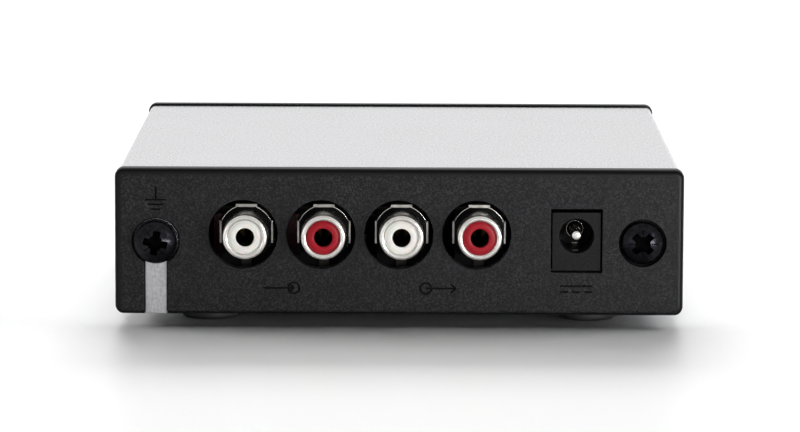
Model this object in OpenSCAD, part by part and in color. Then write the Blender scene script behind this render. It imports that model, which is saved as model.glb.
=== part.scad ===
// Phono preamplifier: an extruded aluminium sleeve closed by two moulded end caps.
// The rear cap shows four phono jacks, a power inlet and a ground terminal.
// X runs along the width, Y from the rear face to the front, Z up from the surface it stands on.
// "d" is a depth in millimetres, counted inwards from the rear face.

/* [Case] */
// Width over the end caps
case_w = 105.2; // [102:0.2:112]
// Height over the end caps
case_h = 27.2; // [26.6:0.1:32]
// Depth from rear face to front face
case_d = 110; // [104:1:130]
// Step from the end caps' sides in to the sleeve
cap_step = 0.3; // [0.2:0.1:1.5]
// Step from the end caps' top and underside in to the sleeve
cap_lip = 0.5; // [0.5:0.1:1]
// Depth of the rear cap's flange
cap_flange = 3.2; // [3.1:0.1:6]
// Depth of the front cap's flange
front_flange = 3.2; // [3:0.1:5]
// Wall of an end cap where its face carries the jacks
cap_wall = 2.5; // [2:0.1:3]
// Wall of the front cap's face
front_wall = 2; // [1.6:0.1:2.4]
// Corner radius of an end cap
cap_corner_r = 1.6; // [1.4:0.1:3]
// Rounding of an end cap's outer edge
cap_edge_r = 1; // [0.4:0.1:1.2]
// Wall of the sleeve
sleeve_wall = 1.5; // [1.2:0.1:2]
// Corner radius of the sleeve
sleeve_corner_r = 1.2; // [0.8:0.1:2]
// Length of the tongues that locate an end cap in the sleeve
tongue_len = 4; // [3:0.5:8]
// Thickness of the tongues
tongue_t = 1.5; // [1:0.1:1.8]
// Distance from the screws in to the hollow behind an end cap's face
hollow_in = 5.5; // [5:0.1:6]
// Clearance between a tongue and the sleeve
tongue_gap = 0.15; // [0.05:0.05:0.3]

/* [Feet] */
// Diameter of a foot
foot_d = 11; // [8:0.5:13]
// Height of a foot
foot_h = 3; // [2.5:0.5:6]
// Distance of a foot from the nearer side
foot_side = 17.2; // [12:0.1:28]
// Distance of a foot from the nearer face
foot_in = 14; // [12:1:30]
// Chamfer round the tread of a foot
foot_chamfer = 0.6; // [0.2:0.1:1]

/* [Screws] */
// Distance of the screws from the end caps' sides
screw_side = 7.6; // [7:0.1:8]
// Height of the screws above the end cap's underside
screw_up = 13.6; // [13:0.1:15]
// Thread diameter of the screws
screw_d = 4; // [3.5:0.1:4.2]
// Thread pitch of the screws
screw_pitch = 0.7; // [0.5:0.1:0.8]
// Head diameter of the screws
head_d = 7.8; // [6.5:0.1:7.8]
// Head height of the screws
head_k = 2.8; // [2:0.1:3.2]
// Height of the head's straight side
head_side = 1.1; // [0.6:0.1:1.6]
// Length of the cap screws under the head
cap_screw_len = 12; // [10:1:20]
// Length of the ground screw under the head
ground_screw_len = 14; // [12:1:20]
// Diameter of the sinks round the screw heads
sink_d = 8.8; // [8.8:0.1:9.4]
// Depth of the sinks of the cap screws
sink_depth = 1.2; // [0.8:0.1:2]
// Radial clearance of a thread in its channel
thread_gap = 0.05; // [0.02:0.01:0.08]
// Radial clearance of a thread in an end cap, the strap or the washer
pass_gap = 0.25; // [0.15:0.05:0.4]
// Wall of the sleeve's screw channels
channel_wall = 1.4; // [1.2:0.1:1.5]
// Width across a screw head's cross recess
cross_w = 4.4; // [3:0.1:4.8]
// Width of a slot of the cross recess
cross_slot = 1; // [0.7:0.1:1.3]
// Depth of the cross recess
cross_depth = 1.7; // [1:0.1:2]
// Turn of the ground screw's cross from upright
ground_cross_turn = 5; // [0:1:45]
// Turn of the cap screws' crosses from upright
cap_cross_turn = 45; // [0:1:45]

/* [Ground terminal] */
// Width of the ground strap
strap_w = 4; // [3:0.1:5]
// Thickness of the ground strap, less than the end caps' lip
strap_t = 0.45; // [0.3:0.05:0.5]
// Depth of the strap's face behind the rear face
strap_inset = 0.7; // [0.4:0.1:1]
// Diameter of the strap's eye round the screw
strap_eye_d = 8.4; // [7:0.1:8.6]
// Length of the strap's foot under the case
strap_foot = 12; // [8:0.5:20]
// Side clearance of the strap in its slot
strap_gap = 0.15; // [0.1:0.05:0.3]
// Diameter of the ground washer
washer_d = 8.3; // [7:0.1:8.6]
// Thickness of the ground washer
washer_t = 0.8; // [0.5:0.1:1]
// Gap left between the ground terminal's clamping faces
seat_gap = 0.02; // [0.01:0.01:0.04]

/* [Phono jacks] */
// Distance between neighbouring jacks
jack_pitch = 14.4; // [14:0.1:14.6]
// Offset of the row of jacks from half way between the ground terminal and the power inlet
jack_row_shift = -1; // [-1.2:0.05:1.2]
// Offset of the jacks from the middle of their holes
jack_shift = 0.5; // [0:0.1:0.5]
// Height of the jack axes above the end cap's underside
jack_up = 15; // [14.6:0.1:15.2]
// Diameter of the holes round the jacks
jack_hole_d = 12.8; // [12.4:0.1:13]
// Outside diameter of a jack's barrel
barrel_d = 8.3; // [8.2:0.1:8.4]
// Length by which the barrels stand out of the rear face
barrel_proud = 4.4; // [3:0.1:6]
// Wall of a jack's barrel
barrel_wall = 1.05; // [0.8:0.05:1.1]
// Rounding of a barrel's rim
barrel_rim_r = 0.45; // [0.2:0.05:0.5]
// Depth of the jack flanges behind the rear face
flange_in = 3.9; // [3.6:0.1:4.4]
// Diameter of a jack's flange
flange_d = 9.7; // [9:0.1:10]
// Thickness of the sheet that a jack's shell is pressed from
shell_t = 0.5; // [0.4:0.05:0.6]
// Length of the tabs folded back over a jack's body
tab_len = 4.5; // [3:0.1:6]
// Height of a side tab
side_tab_h = 4.2; // [3:0.1:5]
// Width of the top tab
top_tab_w = 4; // [3:0.1:5]
// Width of the bottom tab, which carries the ground leg
leg_tab_w = 1.9; // [1.5:0.1:2.4]
// Width of a jack's body
jack_body_w = 9; // [9:0.1:9.2]
// Height of a jack's body above its axis
jack_body_up = 4.7; // [4.6:0.05:4.8]
// Length of a jack's body
jack_body_len = 10; // [9:0.1:12]
// Depth of the insulator's face behind the barrel's rim
insulator_in = 0.3; // [0.1:0.1:0.6]
// Bore of the insulator's mouth
mouth_d = 3.5; // [3.4:0.05:3.6]
// Length of the insulator's narrow mouth
mouth_len = 1.6; // [1:0.1:3]
// Bore of the centre contact, for a plug pin of 3.2 mm
contact_bore = 3.3; // [3.25:0.01:3.4]
// Wall of the centre contact
contact_wall = 0.4; // [0.3:0.05:0.5]
// Length of the centre contact's tube
contact_len = 13; // [11:0.5:14]
// Slack between pressed-together parts of a jack
snug = 0.02; // [0.01:0.01:0.04]
// Width of the legs through the board
leg_w = 1; // [0.8:0.1:1.2]

/* [Power inlet] */
// Distance of the inlet from the screw beside it
inlet_side = 12.2; // [11.8:0.1:13]
// Width of the inlet's body
inlet_w = 9; // [8.8:0.1:9.2]
// Height of the inlet's body
inlet_h = 10.9; // [10.7:0.1:11.2]
// Length of the inlet's body
inlet_len = 14.2; // [13:0.1:16]
// Depth of the inlet's face behind the rear face
inlet_in = 0.7; // [0.3:0.1:1]
// Gap between the inlet and its opening at the sides
inlet_side_gap = 0.25; // [0.15:0.05:0.4]
// Gap between the inlet and its opening at the top
inlet_top_gap = 0.7; // [0.3:0.1:1]
// Bore of the inlet
inlet_bore = 6.4; // [6.2:0.1:6.6]
// Height of the inlet's bore axis above the board
inlet_axis_up = 6.5; // [6.2:0.1:6.7]
// Depth of the inlet's bore
inlet_bore_len = 10; // [9:0.5:11]
// Diameter of the centre pin
pin_d = 2; // [1.9:0.05:2.5]
// Depth of the pin's tip behind the inlet's face
pin_in = 0.6; // [0.3:0.1:2]
// Diameter of the pin's collar at the foot of the bore
pin_collar_d = 3.3; // [3:0.1:4]
// Thickness of the pin's collar
pin_collar_t = 0.6; // [0.4:0.1:1]
// Width of the sprung contact
leaf_w = 1; // [0.8:0.1:1.4]
// Thickness of the sprung contact
leaf_t = 0.3; // [0.2:0.05:0.4]
// Length by which the sprung contact stands into the bore
leaf_rise = 0.45; // [0.3:0.05:0.6]
// Side clearance of the sprung contact in its slot
leaf_gap = 0.2; // [0.15:0.05:0.3]
// Depth of the slot under the sprung contact
leaf_room = 1.2; // [1:0.1:1.5]

/* [Circuit board] */
// Thickness of the board
board_t = 1.6; // [1.2:0.2:1.6]
// Height of the board's top above the end caps' underside
board_up = 8.3; // [8:0.1:8.4]
// Gap between the board's ends and the end caps
board_end_gap = 0.2; // [0.1:0.1:0.5]
// Gap between the board's sides and the sleeve
board_side_gap = 0.2; // [0.1:0.05:0.3]
// Gap between the board and the rails above and below it
rail_gap = 0.1; // [0.05:0.05:0.2]
// Depth of the rails
rail_w = 1.6; // [1.2:0.1:2]
// Height of a rail
rail_h = 1; // [0.8:0.1:1.2]
// Distance between neighbouring legs of a chip
chip_pitch = 2.54; // [2.3:0.01:2.6]
// Width of the box capacitors
film_w = 7.2; // [5:0.1:7.2]
// Thickness of the box capacitors
film_t = 4.5; // [3:0.1:5]
// Height of the box capacitors
film_h = 7.5; // [5:0.5:8.5]
// Width of a chip's body
chip_w = 6.4; // [6:0.1:6.8]
// Length of a chip's body
chip_len = 9.6; // [9.2:0.1:10]
// Height of a chip's body
chip_h = 3.3; // [2.8:0.1:4]
// Gap between a chip's body and the board
chip_lift = 0.6; // [0.3:0.1:1]
// Diameter of a resistor's ends
resistor_d = 2.4; // [1.8:0.1:2.6]
// Length of a resistor's body
resistor_len = 6; // [4:0.1:6.5]
// Diameter of the diode
diode_d = 2.7; // [2:0.1:3]
// Length of the diode
diode_len = 5.2; // [4:0.1:6]
// Width of the voltage regulator
regulator_w = 6.6; // [6:0.1:7]
// Length of the voltage regulator's body
regulator_len = 6; // [5:0.1:7]
// Height of the voltage regulator
regulator_h = 2.4; // [2:0.1:3]
// Diameter of the inductor
inductor_d = 8; // [6:0.1:9]
// Height of the inductor
inductor_h = 6.4; // [5:0.1:8]
// Diameter of the signal capacitors
can_d = 5; // [4:0.5:6]
// Height of the signal capacitors
can_h = 7; // [5:0.5:8.5]
// Diameter of the reservoir capacitors
reservoir_d = 8; // [6.3:0.1:9]
// Height of the reservoir capacitors
reservoir_h = 8.5; // [6:0.5:8.8]
// Diameter of the power indicator
led_d = 3; // [2.8:0.1:5]
// Length by which the indicator stands out of the front face
led_proud = 0.4; // [0.2:0.1:1]

/* [Symbols] */
// Depth of the engraved symbols
engrave = 0.25; // [0.1:0.05:0.4]
// Stroke of the engraved symbols
stroke = 0.35; // [0.25:0.05:0.5]
// Height of the middle of the symbols above the end cap's underside
symbol_up = 5; // [4.5:0.1:6]
// Diameter of the rings in the symbols
symbol_ring_d = 2.4; // [2:0.1:3]
// Length of the arrows in the symbols
symbol_arrow = 5.6; // [3:0.1:7]
// Width of the direct current sign
direct_sign_w = 6; // [4:0.1:8]
// Gap between the lines of the direct current sign
direct_sign_gap = 1.1; // [0.8:0.1:1.5]
// Height of the earth sign's top bar above the end cap's underside
earth_up = 21.4; // [20.5:0.1:22]
// Length of the earth sign's stem
earth_stem = 2.4; // [1.5:0.1:3]
// Width of the earth sign's top bar
earth_w = 4; // [3:0.1:5]
// Step between the earth sign's bars
earth_step = 0.9; // [0.6:0.1:1]

/* [Hidden] */
$fn = 64;
eps = 0.01;             // how far a cut runs past a face
hull_fn = 32;           // facets of the rounds inside a hull

// Case
front_proud = max(head_k - sink_depth, led_proud);
rear_y = barrel_proud - (case_d + barrel_proud + front_proud) / 2;
front_y = rear_y + case_d;
cap_z = foot_h - cap_lip;
sleeve_w = case_w - 2 * cap_step;
sleeve_h = case_h - 2 * cap_lip;
sleeve_y0 = rear_y + cap_flange;
sleeve_y1 = front_y - front_flange;
inner_x = sleeve_w / 2 - sleeve_wall;
inner_z0 = foot_h + sleeve_wall;
inner_z1 = foot_h + sleeve_h - sleeve_wall;
hollow_z0 = inner_z0 + tongue_gap + tongue_t;
hollow_z1 = inner_z1 - tongue_gap - tongue_t;
corners = [[-1, -1], [-1, 1], [1, -1], [1, 1]];

// Screws and ground terminal
screw_x = case_w / 2 - screw_side;
screw_z = cap_z + screw_up;
cap_hollow_x = screw_x - hollow_in;
foot_x = case_w / 2 - foot_side;
channel_d = screw_d + 2 * thread_gap;
channel_outer_d = channel_d + 2 * channel_wall;
pass_d = screw_d + 2 * pass_gap;
strap_back = strap_inset + strap_t;
washer_y = rear_y + strap_inset - seat_gap - washer_t;
ground_head_y = washer_y - seat_gap;

// Jacks, with their row between the ground terminal's sink and the inlet's opening
inlet_x = screw_x - inlet_side;
row_left = sink_d / 2 - screw_x;
row_right = inlet_x - inlet_w / 2 - inlet_side_gap;
jack_row_x = (row_left + row_right) / 2 + jack_row_shift;
jack_z = cap_z + jack_up;
jack_y0 = rear_y - barrel_proud;
flange_y = rear_y + flange_in;
body_y = flange_y + shell_t + snug;
barrel_bore = barrel_d - 2 * barrel_wall;
insulator_d = barrel_bore - 2 * snug;
contact_d = contact_bore + 2 * contact_wall;
contact_y = jack_y0 + insulator_in + mouth_len + snug;
leg_y = flange_y + 2.6;
leg_tab_gap = 0.1;      // between a shell's bottom tab and the board

// Board
board_z1 = cap_z + board_up;
board_z0 = board_z1 - board_t;
board_x = inner_x - board_side_gap;
leg_end = board_z0 - 1.2;           // where the soldered legs end, under the board
leg_hole = leg_w + 0.4;
column = board_x / 20;              // steps in which the board's parts are placed across it
row = (sleeve_y1 - rear_y) / 42;    // and along it

// Inlet
inlet_y = rear_y + inlet_in;
inlet_z = board_z1 + inlet_axis_up;
inlet_floor_y = inlet_y + inlet_bore_len;
leaf_z1 = inlet_z - inlet_bore / 2 + leaf_rise;
leaf_y0 = inlet_y + 2.5;
leaf_y1 = inlet_floor_y + 1.6;
leaf_slot_z0 = leaf_z1 - leaf_t - leaf_room;
terminal_t = 0.5;       // sheet of the inlet's terminals
terminal_y = leaf_y1 + 0.4;
switch_y = inlet_floor_y + 0.3;
switch_x = 2.9;         // how far the switch contact's leg stands from the inlet's middle

// Indicator
led_z = cap_z + case_h / 2;
led_hole_d = led_d + 0.1;
led_flange_d = led_d + 0.8;
led_back = 2;           // length of the indicator behind the front cap's face
lead_t = 0.5;           // thickness of a round or square lead

// A box between two corners
module block(x0, x1, y0, y1, z0, z1) {
    translate([x0, y0, z0]) cube([x1 - x0, y1 - y0, z1 - z0]);
}

// A round bar along Y
module bar_y(d, x, y0, y1, z) {
    translate([x, y0, z]) rotate([-90, 0, 0]) cylinder(d = d, h = y1 - y0);
}

// A tube along Y
module tube_y(d_out, d_in, x, y0, y1, z) {
    difference() {
        bar_y(d_out, x, y0, y1, z);
        bar_y(d_in, x, y0 - eps, y1 + eps, z);
    }
}

// An end cap's solid: rounded corners and a rounded outer edge, with its face at y = 0
module cap_solid(flange) {
    steps = 6;
    hull() for (c = corners)
        translate([c[0] * (case_w / 2 - cap_corner_r), 0, case_h / 2 + c[1] * (case_h / 2 - cap_corner_r)])
            rotate([-90, 0, 0]) {
                translate([0, 0, cap_edge_r])
                    cylinder(r = cap_corner_r, h = flange - cap_edge_r, $fn = hull_fn);
                for (i = [0 : steps - 1]) {
                    a = 90 * i / steps;
                    translate([0, 0, cap_edge_r * (1 - cos(a))])
                        cylinder(r = cap_corner_r - cap_edge_r * (1 - sin(a)), h = eps, $fn = hull_fn);
                }
            }
}

// An end cap without its openings, with its face at y = 0 and its underside at z = 0
module cap_blank(flange, wall) {
    difference() {
        cap_solid(flange);
        block(-cap_hollow_x, cap_hollow_x, wall, flange + eps, hollow_z0 - cap_z, hollow_z1 - cap_z);
    }
    for (z = [inner_z0 + tongue_gap, hollow_z1])
        block(-cap_hollow_x, cap_hollow_x, flange - eps, flange + tongue_len,
              z - cap_z, z + tongue_t - cap_z);
}

// The way of a cap screw through an end cap whose face is at y = 0
module screw_way(x) {
    bar_y(sink_d, x, -eps, sink_depth, screw_up);
    bar_y(pass_d, x, 0, cap_flange + eps, screw_up);
}

// A pan head along Y with a cross recess, with its underside at y = 0
module pan_head(turn) {
    dome_rise = head_k - head_side;
    dome_r = (pow(head_d / 2, 2) + pow(dome_rise, 2)) / (2 * dome_rise);
    difference() {
        intersection() {
            bar_y(head_d, 0, -head_k, 0, 0);
            translate([0, dome_r - head_k, 0]) sphere(r = dome_r, $fn = 96);
        }
        for (a = [0, 90]) rotate([0, a + turn, 0])
            block(-cross_w / 2, cross_w / 2, -head_k - eps, -head_k + cross_depth,
                  -cross_slot / 2, cross_slot / 2);
    }
}

// A pan head screw along Y, with its head's underside at y = 0 and its thread towards +Y
module pan_screw(length, turn) {
    pan_head(turn);
    bar_y(screw_d, 0, -eps, length, 0);
}

// One stroke of a symbol, cut from the face y = 0 at [x, z], with a length, a height and a turn
module mark(x, z, w, h, turn = 0) {
    translate([x, 0, z]) rotate([0, turn, 0]) block(-w / 2, w / 2, -eps, engrave, -h / 2, h / 2);
}

// A ring of a symbol
module mark_ring(x, z) {
    tube_y(symbol_ring_d, symbol_ring_d - 2 * stroke, x, -eps, engrave, z);
}

// An arrow of a symbol, from x to the right, with its point at x + symbol_arrow
module mark_arrow(x, z) {
    barb = 1.3;
    splay = 40;
    mark(x + symbol_arrow / 2, z, symbol_arrow, stroke);
    for (s = [-1, 1])
        mark(x + symbol_arrow - barb / 2 * cos(splay), z + s * barb / 2 * sin(splay),
             barb, stroke, s * splay);
}

// Earth sign: a stem over three bars
module earth_sign() {
    mark(-screw_x, earth_up + earth_stem / 2, stroke, earth_stem);
    for (i = [0 : 2])
        mark(-screw_x, earth_up - i * earth_step, earth_w - i * 1.15, stroke);
}

// Sign for an input: an arrow that ends in a ring
module input_sign(x) {
    x0 = x - symbol_arrow / 2 - symbol_ring_d / 4;
    mark_arrow(x0, symbol_up);
    mark_ring(x0 + symbol_arrow, symbol_up);
}

// Sign for an output: an arrow that starts in a ring
module output_sign(x) {
    x0 = x - symbol_arrow / 2 + symbol_ring_d / 4;
    mark_arrow(x0, symbol_up);
    mark_ring(x0, symbol_up);
}

// Sign for direct current: a line over three dashes
module direct_current_sign(x) {
    dash = direct_sign_w / 4;
    mark(x, symbol_up + direct_sign_gap / 2, direct_sign_w, stroke);
    for (i = [-1, 0, 1])
        mark(x + i * (direct_sign_w - dash) / 2, symbol_up - direct_sign_gap / 2, dash, stroke);
}

function jack_hole_x(i) = jack_row_x + (i - 1.5) * jack_pitch;
function jack_x(i) = jack_hole_x(i) + jack_shift;

module sleeve() {
    color("silver") difference() {
        union() {
            difference() {
                union() {
                    block(-sleeve_w / 2, sleeve_w / 2, sleeve_y0, sleeve_y1,
                          foot_h + sleeve_corner_r, foot_h + sleeve_h - sleeve_corner_r);
                    block(-sleeve_w / 2 + sleeve_corner_r, sleeve_w / 2 - sleeve_corner_r,
                          sleeve_y0, sleeve_y1, foot_h, foot_h + sleeve_h);
                    for (c = corners)
                        bar_y(2 * sleeve_corner_r, c[0] * (sleeve_w / 2 - sleeve_corner_r),
                              sleeve_y0, sleeve_y1,
                              foot_h + sleeve_h / 2 + c[1] * (sleeve_h / 2 - sleeve_corner_r));
                }
                block(-inner_x, inner_x, sleeve_y0 - eps, sleeve_y1 + eps, inner_z0, inner_z1);
            }
            for (s = [-1, 1]) {
                bar_y(channel_outer_d, s * screw_x, sleeve_y0, sleeve_y1, screw_z);
                mirror([s < 0 ? 1 : 0, 0, 0]) {
                    block(screw_x + channel_d / 2 + thread_gap, inner_x + eps, sleeve_y0, sleeve_y1,
                          screw_z - 1, screw_z + 1);
                    for (z = [board_z1 + rail_gap, board_z0 - rail_gap - rail_h])
                        block(inner_x - rail_w, inner_x + eps, sleeve_y0, sleeve_y1, z, z + rail_h);
                }
            }
        }
        for (s = [-1, 1])
            bar_y(channel_d, s * screw_x, sleeve_y0 - eps, sleeve_y1 + eps, screw_z);
    }
}

module rear_cap() {
    color("#26262a") translate([0, rear_y, cap_z]) difference() {
        cap_blank(cap_flange, cap_wall);
        screw_way(screw_x);
        for (i = [0 : 3])
            bar_y(jack_hole_d, jack_hole_x(i), -eps, cap_wall + eps, jack_up);
        block(inlet_x - inlet_w / 2 - inlet_side_gap, inlet_x + inlet_w / 2 + inlet_side_gap,
              -eps, cap_wall + eps, board_up - inlet_side_gap, board_up + inlet_h + inlet_top_gap);
        bar_y(sink_d, -screw_x, -eps, strap_back, screw_up);
        bar_y(pass_d, -screw_x, 0, cap_flange + eps, screw_up);
        block(-screw_x - strap_w / 2 - strap_gap, -screw_x + strap_w / 2 + strap_gap,
              -eps, strap_back, -eps, screw_up);
        block(-screw_x - strap_w / 2 - strap_gap, -screw_x + strap_w / 2 + strap_gap,
              -eps, cap_flange + eps, -eps, cap_lip);
        earth_sign();
        input_sign((jack_hole_x(0) + jack_hole_x(1)) / 2);
        output_sign((jack_hole_x(2) + jack_hole_x(3)) / 2);
        direct_current_sign(inlet_x);
    }
}

module front_cap() {
    color("#26262a") translate([0, front_y, cap_z]) rotate([0, 0, 180]) difference() {
        cap_blank(front_flange, front_wall);
        screw_way(screw_x);
        screw_way(-screw_x);
        bar_y(led_hole_d, 0, -eps, front_wall + eps, led_z - cap_z);
    }
}

module cap_screws() {
    color("#1c1c20") {
        translate([screw_x, rear_y + sink_depth, screw_z]) pan_screw(cap_screw_len, cap_cross_turn);
        for (s = [-1, 1])
            translate([s * screw_x, front_y - sink_depth, screw_z])
                rotate([0, 0, 180]) pan_screw(cap_screw_len, cap_cross_turn);
    }
}

module foot(side, end_y) {
    color("#151515") translate([side * foot_x, end_y, 0]) {
        translate([0, 0, foot_chamfer]) cylinder(d = foot_d, h = foot_h - foot_chamfer);
        cylinder(d1 = foot_d - 2 * foot_chamfer, d2 = foot_d, h = foot_chamfer);
    }
}

module ground_screw() {
    color("#1c1c20") translate([-screw_x, ground_head_y, screw_z]) pan_head(ground_cross_turn);
}

module ground_thread() {
    color("#1c1c20") bar_y(screw_d, -screw_x, ground_head_y, ground_head_y + ground_screw_len, screw_z);
}

module ground_washer() {
    color("#2a2a2e") tube_y(washer_d, pass_d, -screw_x, washer_y, washer_y + washer_t, screw_z);
}

module ground_strap() {
    y0 = rear_y + strap_inset;
    z0 = foot_h - strap_t;
    color("#b8b8ba") difference() {
        union() {
            bar_y(strap_eye_d, -screw_x, y0, y0 + strap_t, screw_z);
            block(-screw_x - strap_w / 2, -screw_x + strap_w / 2, y0, y0 + strap_t, z0, screw_z);
            block(-screw_x - strap_w / 2, -screw_x + strap_w / 2, y0, y0 + strap_foot, z0, foot_h);
        }
        bar_y(pass_d, -screw_x, y0 - eps, y0 + strap_t + eps, screw_z);
    }
}

module main_board() {
    color("darkgreen") difference() {
        block(-board_x, board_x, sleeve_y0 + board_end_gap, sleeve_y1 - board_end_gap, board_z0, board_z1);
        for (i = [0 : 3]) {
            translate([jack_x(i), leg_y + shell_t / 2, board_z0 - eps])
                cylinder(d = leg_hole, h = board_t + 2 * eps);
            translate([jack_x(i), contact_y + contact_len - contact_wall / 2, board_z0 - eps])
                cylinder(d = leg_hole, h = board_t + 2 * eps);
        }
        for (leg = [[0, terminal_y], [switch_x, switch_y], [0, inlet_y + inlet_len + snug]])
            translate([inlet_x + leg[0], leg[1] + terminal_t / 2, board_z0 - eps])
                cylinder(d = leg_hole, h = board_t + 2 * eps);
    }
}

// Nickel-plated shell of a jack: barrel, flange, folded tabs and ground leg
module jack_shell(i) {
    tab_x = jack_body_w / 2 + snug;
    tab_z = jack_body_up + snug;
    leg_tab_z = board_z1 + leg_tab_gap - jack_z;
    color("#d9d4cc") translate([jack_x(i), 0, jack_z]) {
        difference() {
            union() {
                translate([0, flange_y, 0]) rotate([90, 0, 0]) rotate_extrude()
                    polygon(concat(
                        [[0, 0], [barrel_d / 2, 0]],
                        [for (a = [0 : 15 : 90]) [
                            barrel_d / 2 - barrel_rim_r * (1 - cos(a)),
                            flange_y - jack_y0 - barrel_rim_r * (1 - sin(a))]],
                        [[0, flange_y - jack_y0]]));
                bar_y(flange_d, 0, flange_y, flange_y + shell_t, 0);
                block(-leg_tab_w / 2, leg_tab_w / 2, flange_y, flange_y + shell_t, leg_tab_z, 0);
                block(-top_tab_w / 2, top_tab_w / 2, flange_y, flange_y + shell_t, 0, tab_z + shell_t);
                block(-tab_x - shell_t, tab_x + shell_t, flange_y, flange_y + shell_t,
                      -side_tab_h / 2, side_tab_h / 2);
            }
            bar_y(barrel_bore, 0, jack_y0 - eps, flange_y + shell_t + eps, 0);
        }
        block(-top_tab_w / 2, top_tab_w / 2, flange_y, flange_y + tab_len, tab_z, tab_z + shell_t);
        for (s = [0, 1]) mirror([s, 0, 0])
            block(tab_x, tab_x + shell_t, flange_y, flange_y + tab_len, -side_tab_h / 2, side_tab_h / 2);
        block(-leg_tab_w / 2, leg_tab_w / 2, flange_y, leg_y + shell_t, leg_tab_z, leg_tab_z + shell_t);
        block(-leg_w / 2, leg_w / 2, leg_y, leg_y + shell_t, leg_end - jack_z, leg_tab_z + shell_t);
    }
}

// Moulded insulator inside the barrel, coloured by channel
module jack_insulator(i, shade) {
    y0 = jack_y0 + insulator_in;
    color(shade) translate([jack_x(i), 0, jack_z]) difference() {
        bar_y(insulator_d, 0, y0, body_y, 0);
        bar_y(mouth_d, 0, y0 - eps, body_y + eps, 0);
        bar_y(contact_d + 2 * snug, 0, y0 + mouth_len, body_y + eps, 0);
    }
}

// Sprung centre contact: a tube with a leg through the board
module jack_contact(i) {
    color("#c9a24a") translate([jack_x(i), 0, jack_z]) {
        difference() {
            union() {
                bar_y(contact_d, 0, contact_y, contact_y + contact_len, 0);
                block(-leg_w / 2, leg_w / 2, contact_y + contact_len - contact_wall, contact_y + contact_len,
                      leg_end - jack_z, 0);
            }
            bar_y(contact_bore, 0, contact_y - eps, contact_y + contact_len - contact_wall, 0);
        }
    }
}

// Moulded body of a jack, standing on the board
module jack_body(i) {
    contact_end = contact_y + contact_len;
    color("#202024") translate([jack_x(i), 0, 0]) difference() {
        block(-jack_body_w / 2, jack_body_w / 2, body_y, body_y + jack_body_len,
              board_z1, jack_z + jack_body_up);
        bar_y(contact_d + 2 * snug, 0, body_y - eps, contact_end + snug, jack_z);
        block(-leg_hole / 2, leg_hole / 2, contact_end - contact_wall - snug, contact_end + snug,
              board_z1 - eps, jack_z);
        block(-leg_tab_w / 2 - snug, leg_tab_w / 2 + snug, body_y - eps, leg_y + shell_t + snug,
              board_z1 - eps, board_z1 + leg_tab_gap + shell_t + snug);
    }
}

module inlet_body() {
    slot_x = leaf_w / 2 + leaf_gap;
    color("#202024") translate([inlet_x, 0, 0]) difference() {
        block(-inlet_w / 2, inlet_w / 2, inlet_y, inlet_y + inlet_len, board_z1, board_z1 + inlet_h);
        bar_y(inlet_bore, 0, inlet_y - eps, inlet_floor_y, inlet_z);
        bar_y(pin_d + 2 * snug, 0, inlet_floor_y - eps, inlet_y + inlet_len + eps, inlet_z);
        block(-slot_x, slot_x, leaf_y0 - leaf_gap, terminal_y + terminal_t + snug,
              leaf_slot_z0, leaf_z1 + leaf_gap);
        block(-slot_x, slot_x, terminal_y - snug, terminal_y + terminal_t + snug,
              board_z1 - eps, leaf_slot_z0 + eps);
        block(-slot_x, switch_x + leg_w / 2 + snug, switch_y - snug, switch_y + terminal_t + snug,
              leaf_z1, leaf_z1 + seat_gap + terminal_t + snug);
        block(switch_x - leg_w / 2 - snug, switch_x + leg_w / 2 + snug,
              switch_y - snug, switch_y + terminal_t + snug, board_z1 - eps, leaf_z1 + eps);
    }
}

module inlet_pin() {
    tip_r = 0.4;
    reach = inlet_bore_len - pin_in;
    end_y = inlet_y + inlet_len + snug;
    color("#d8d8dc") translate([inlet_x, 0, 0]) {
        translate([0, inlet_floor_y, inlet_z]) rotate([90, 0, 0]) {
            cylinder(d = pin_d, h = reach - tip_r);
            translate([0, 0, reach - tip_r]) cylinder(d1 = pin_d, d2 = pin_d - 2 * tip_r, h = tip_r);
        }
        bar_y(pin_collar_d, 0, inlet_floor_y - pin_collar_t, inlet_floor_y, inlet_z);
        bar_y(pin_d, 0, inlet_floor_y - eps, end_y + terminal_t, inlet_z);
        block(-leg_w / 2, leg_w / 2, end_y, end_y + terminal_t, leg_end, inlet_z + pin_d / 2);
    }
}

// Sprung sleeve contact, which a plug presses down
module inlet_leaf() {
    color("#d8d8dc") translate([inlet_x, 0, 0]) {
        block(-leaf_w / 2, leaf_w / 2, leaf_y0, leaf_y1, leaf_z1 - leaf_t, leaf_z1);
        translate([-leaf_w / 2, leaf_y1, leaf_z1 - leaf_t / 2]) rotate([0, 90, 0])
            cylinder(d = 2 * leaf_t - eps, h = leaf_w);
    }
}

// Fixed end of the sleeve contact, soldered to the board
module inlet_leaf_terminal() {
    color("#d8d8dc") translate([inlet_x, 0, 0])
        block(-leg_w / 2, leg_w / 2, terminal_y, terminal_y + terminal_t, leg_end, leaf_z1 - leaf_t);
}

// Fixed contact over the leaf's root, which the leaf rests against until a plug presses it away
module inlet_switch_contact() {
    z0 = leaf_z1 + seat_gap;
    color("#d8d8dc") translate([inlet_x, switch_y, 0]) {
        block(-leaf_w / 2, switch_x + leg_w / 2, 0, terminal_t, z0, z0 + terminal_t);
        block(switch_x - leg_w / 2, switch_x + leg_w / 2, 0, terminal_t, leg_end, z0 + terminal_t);
    }
}

// Puts a part on the board, x columns from its middle and d rows from the rear face
module on_board(x, d) {
    translate([x * column, rear_y + d * row, board_z1]) children();
}

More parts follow.
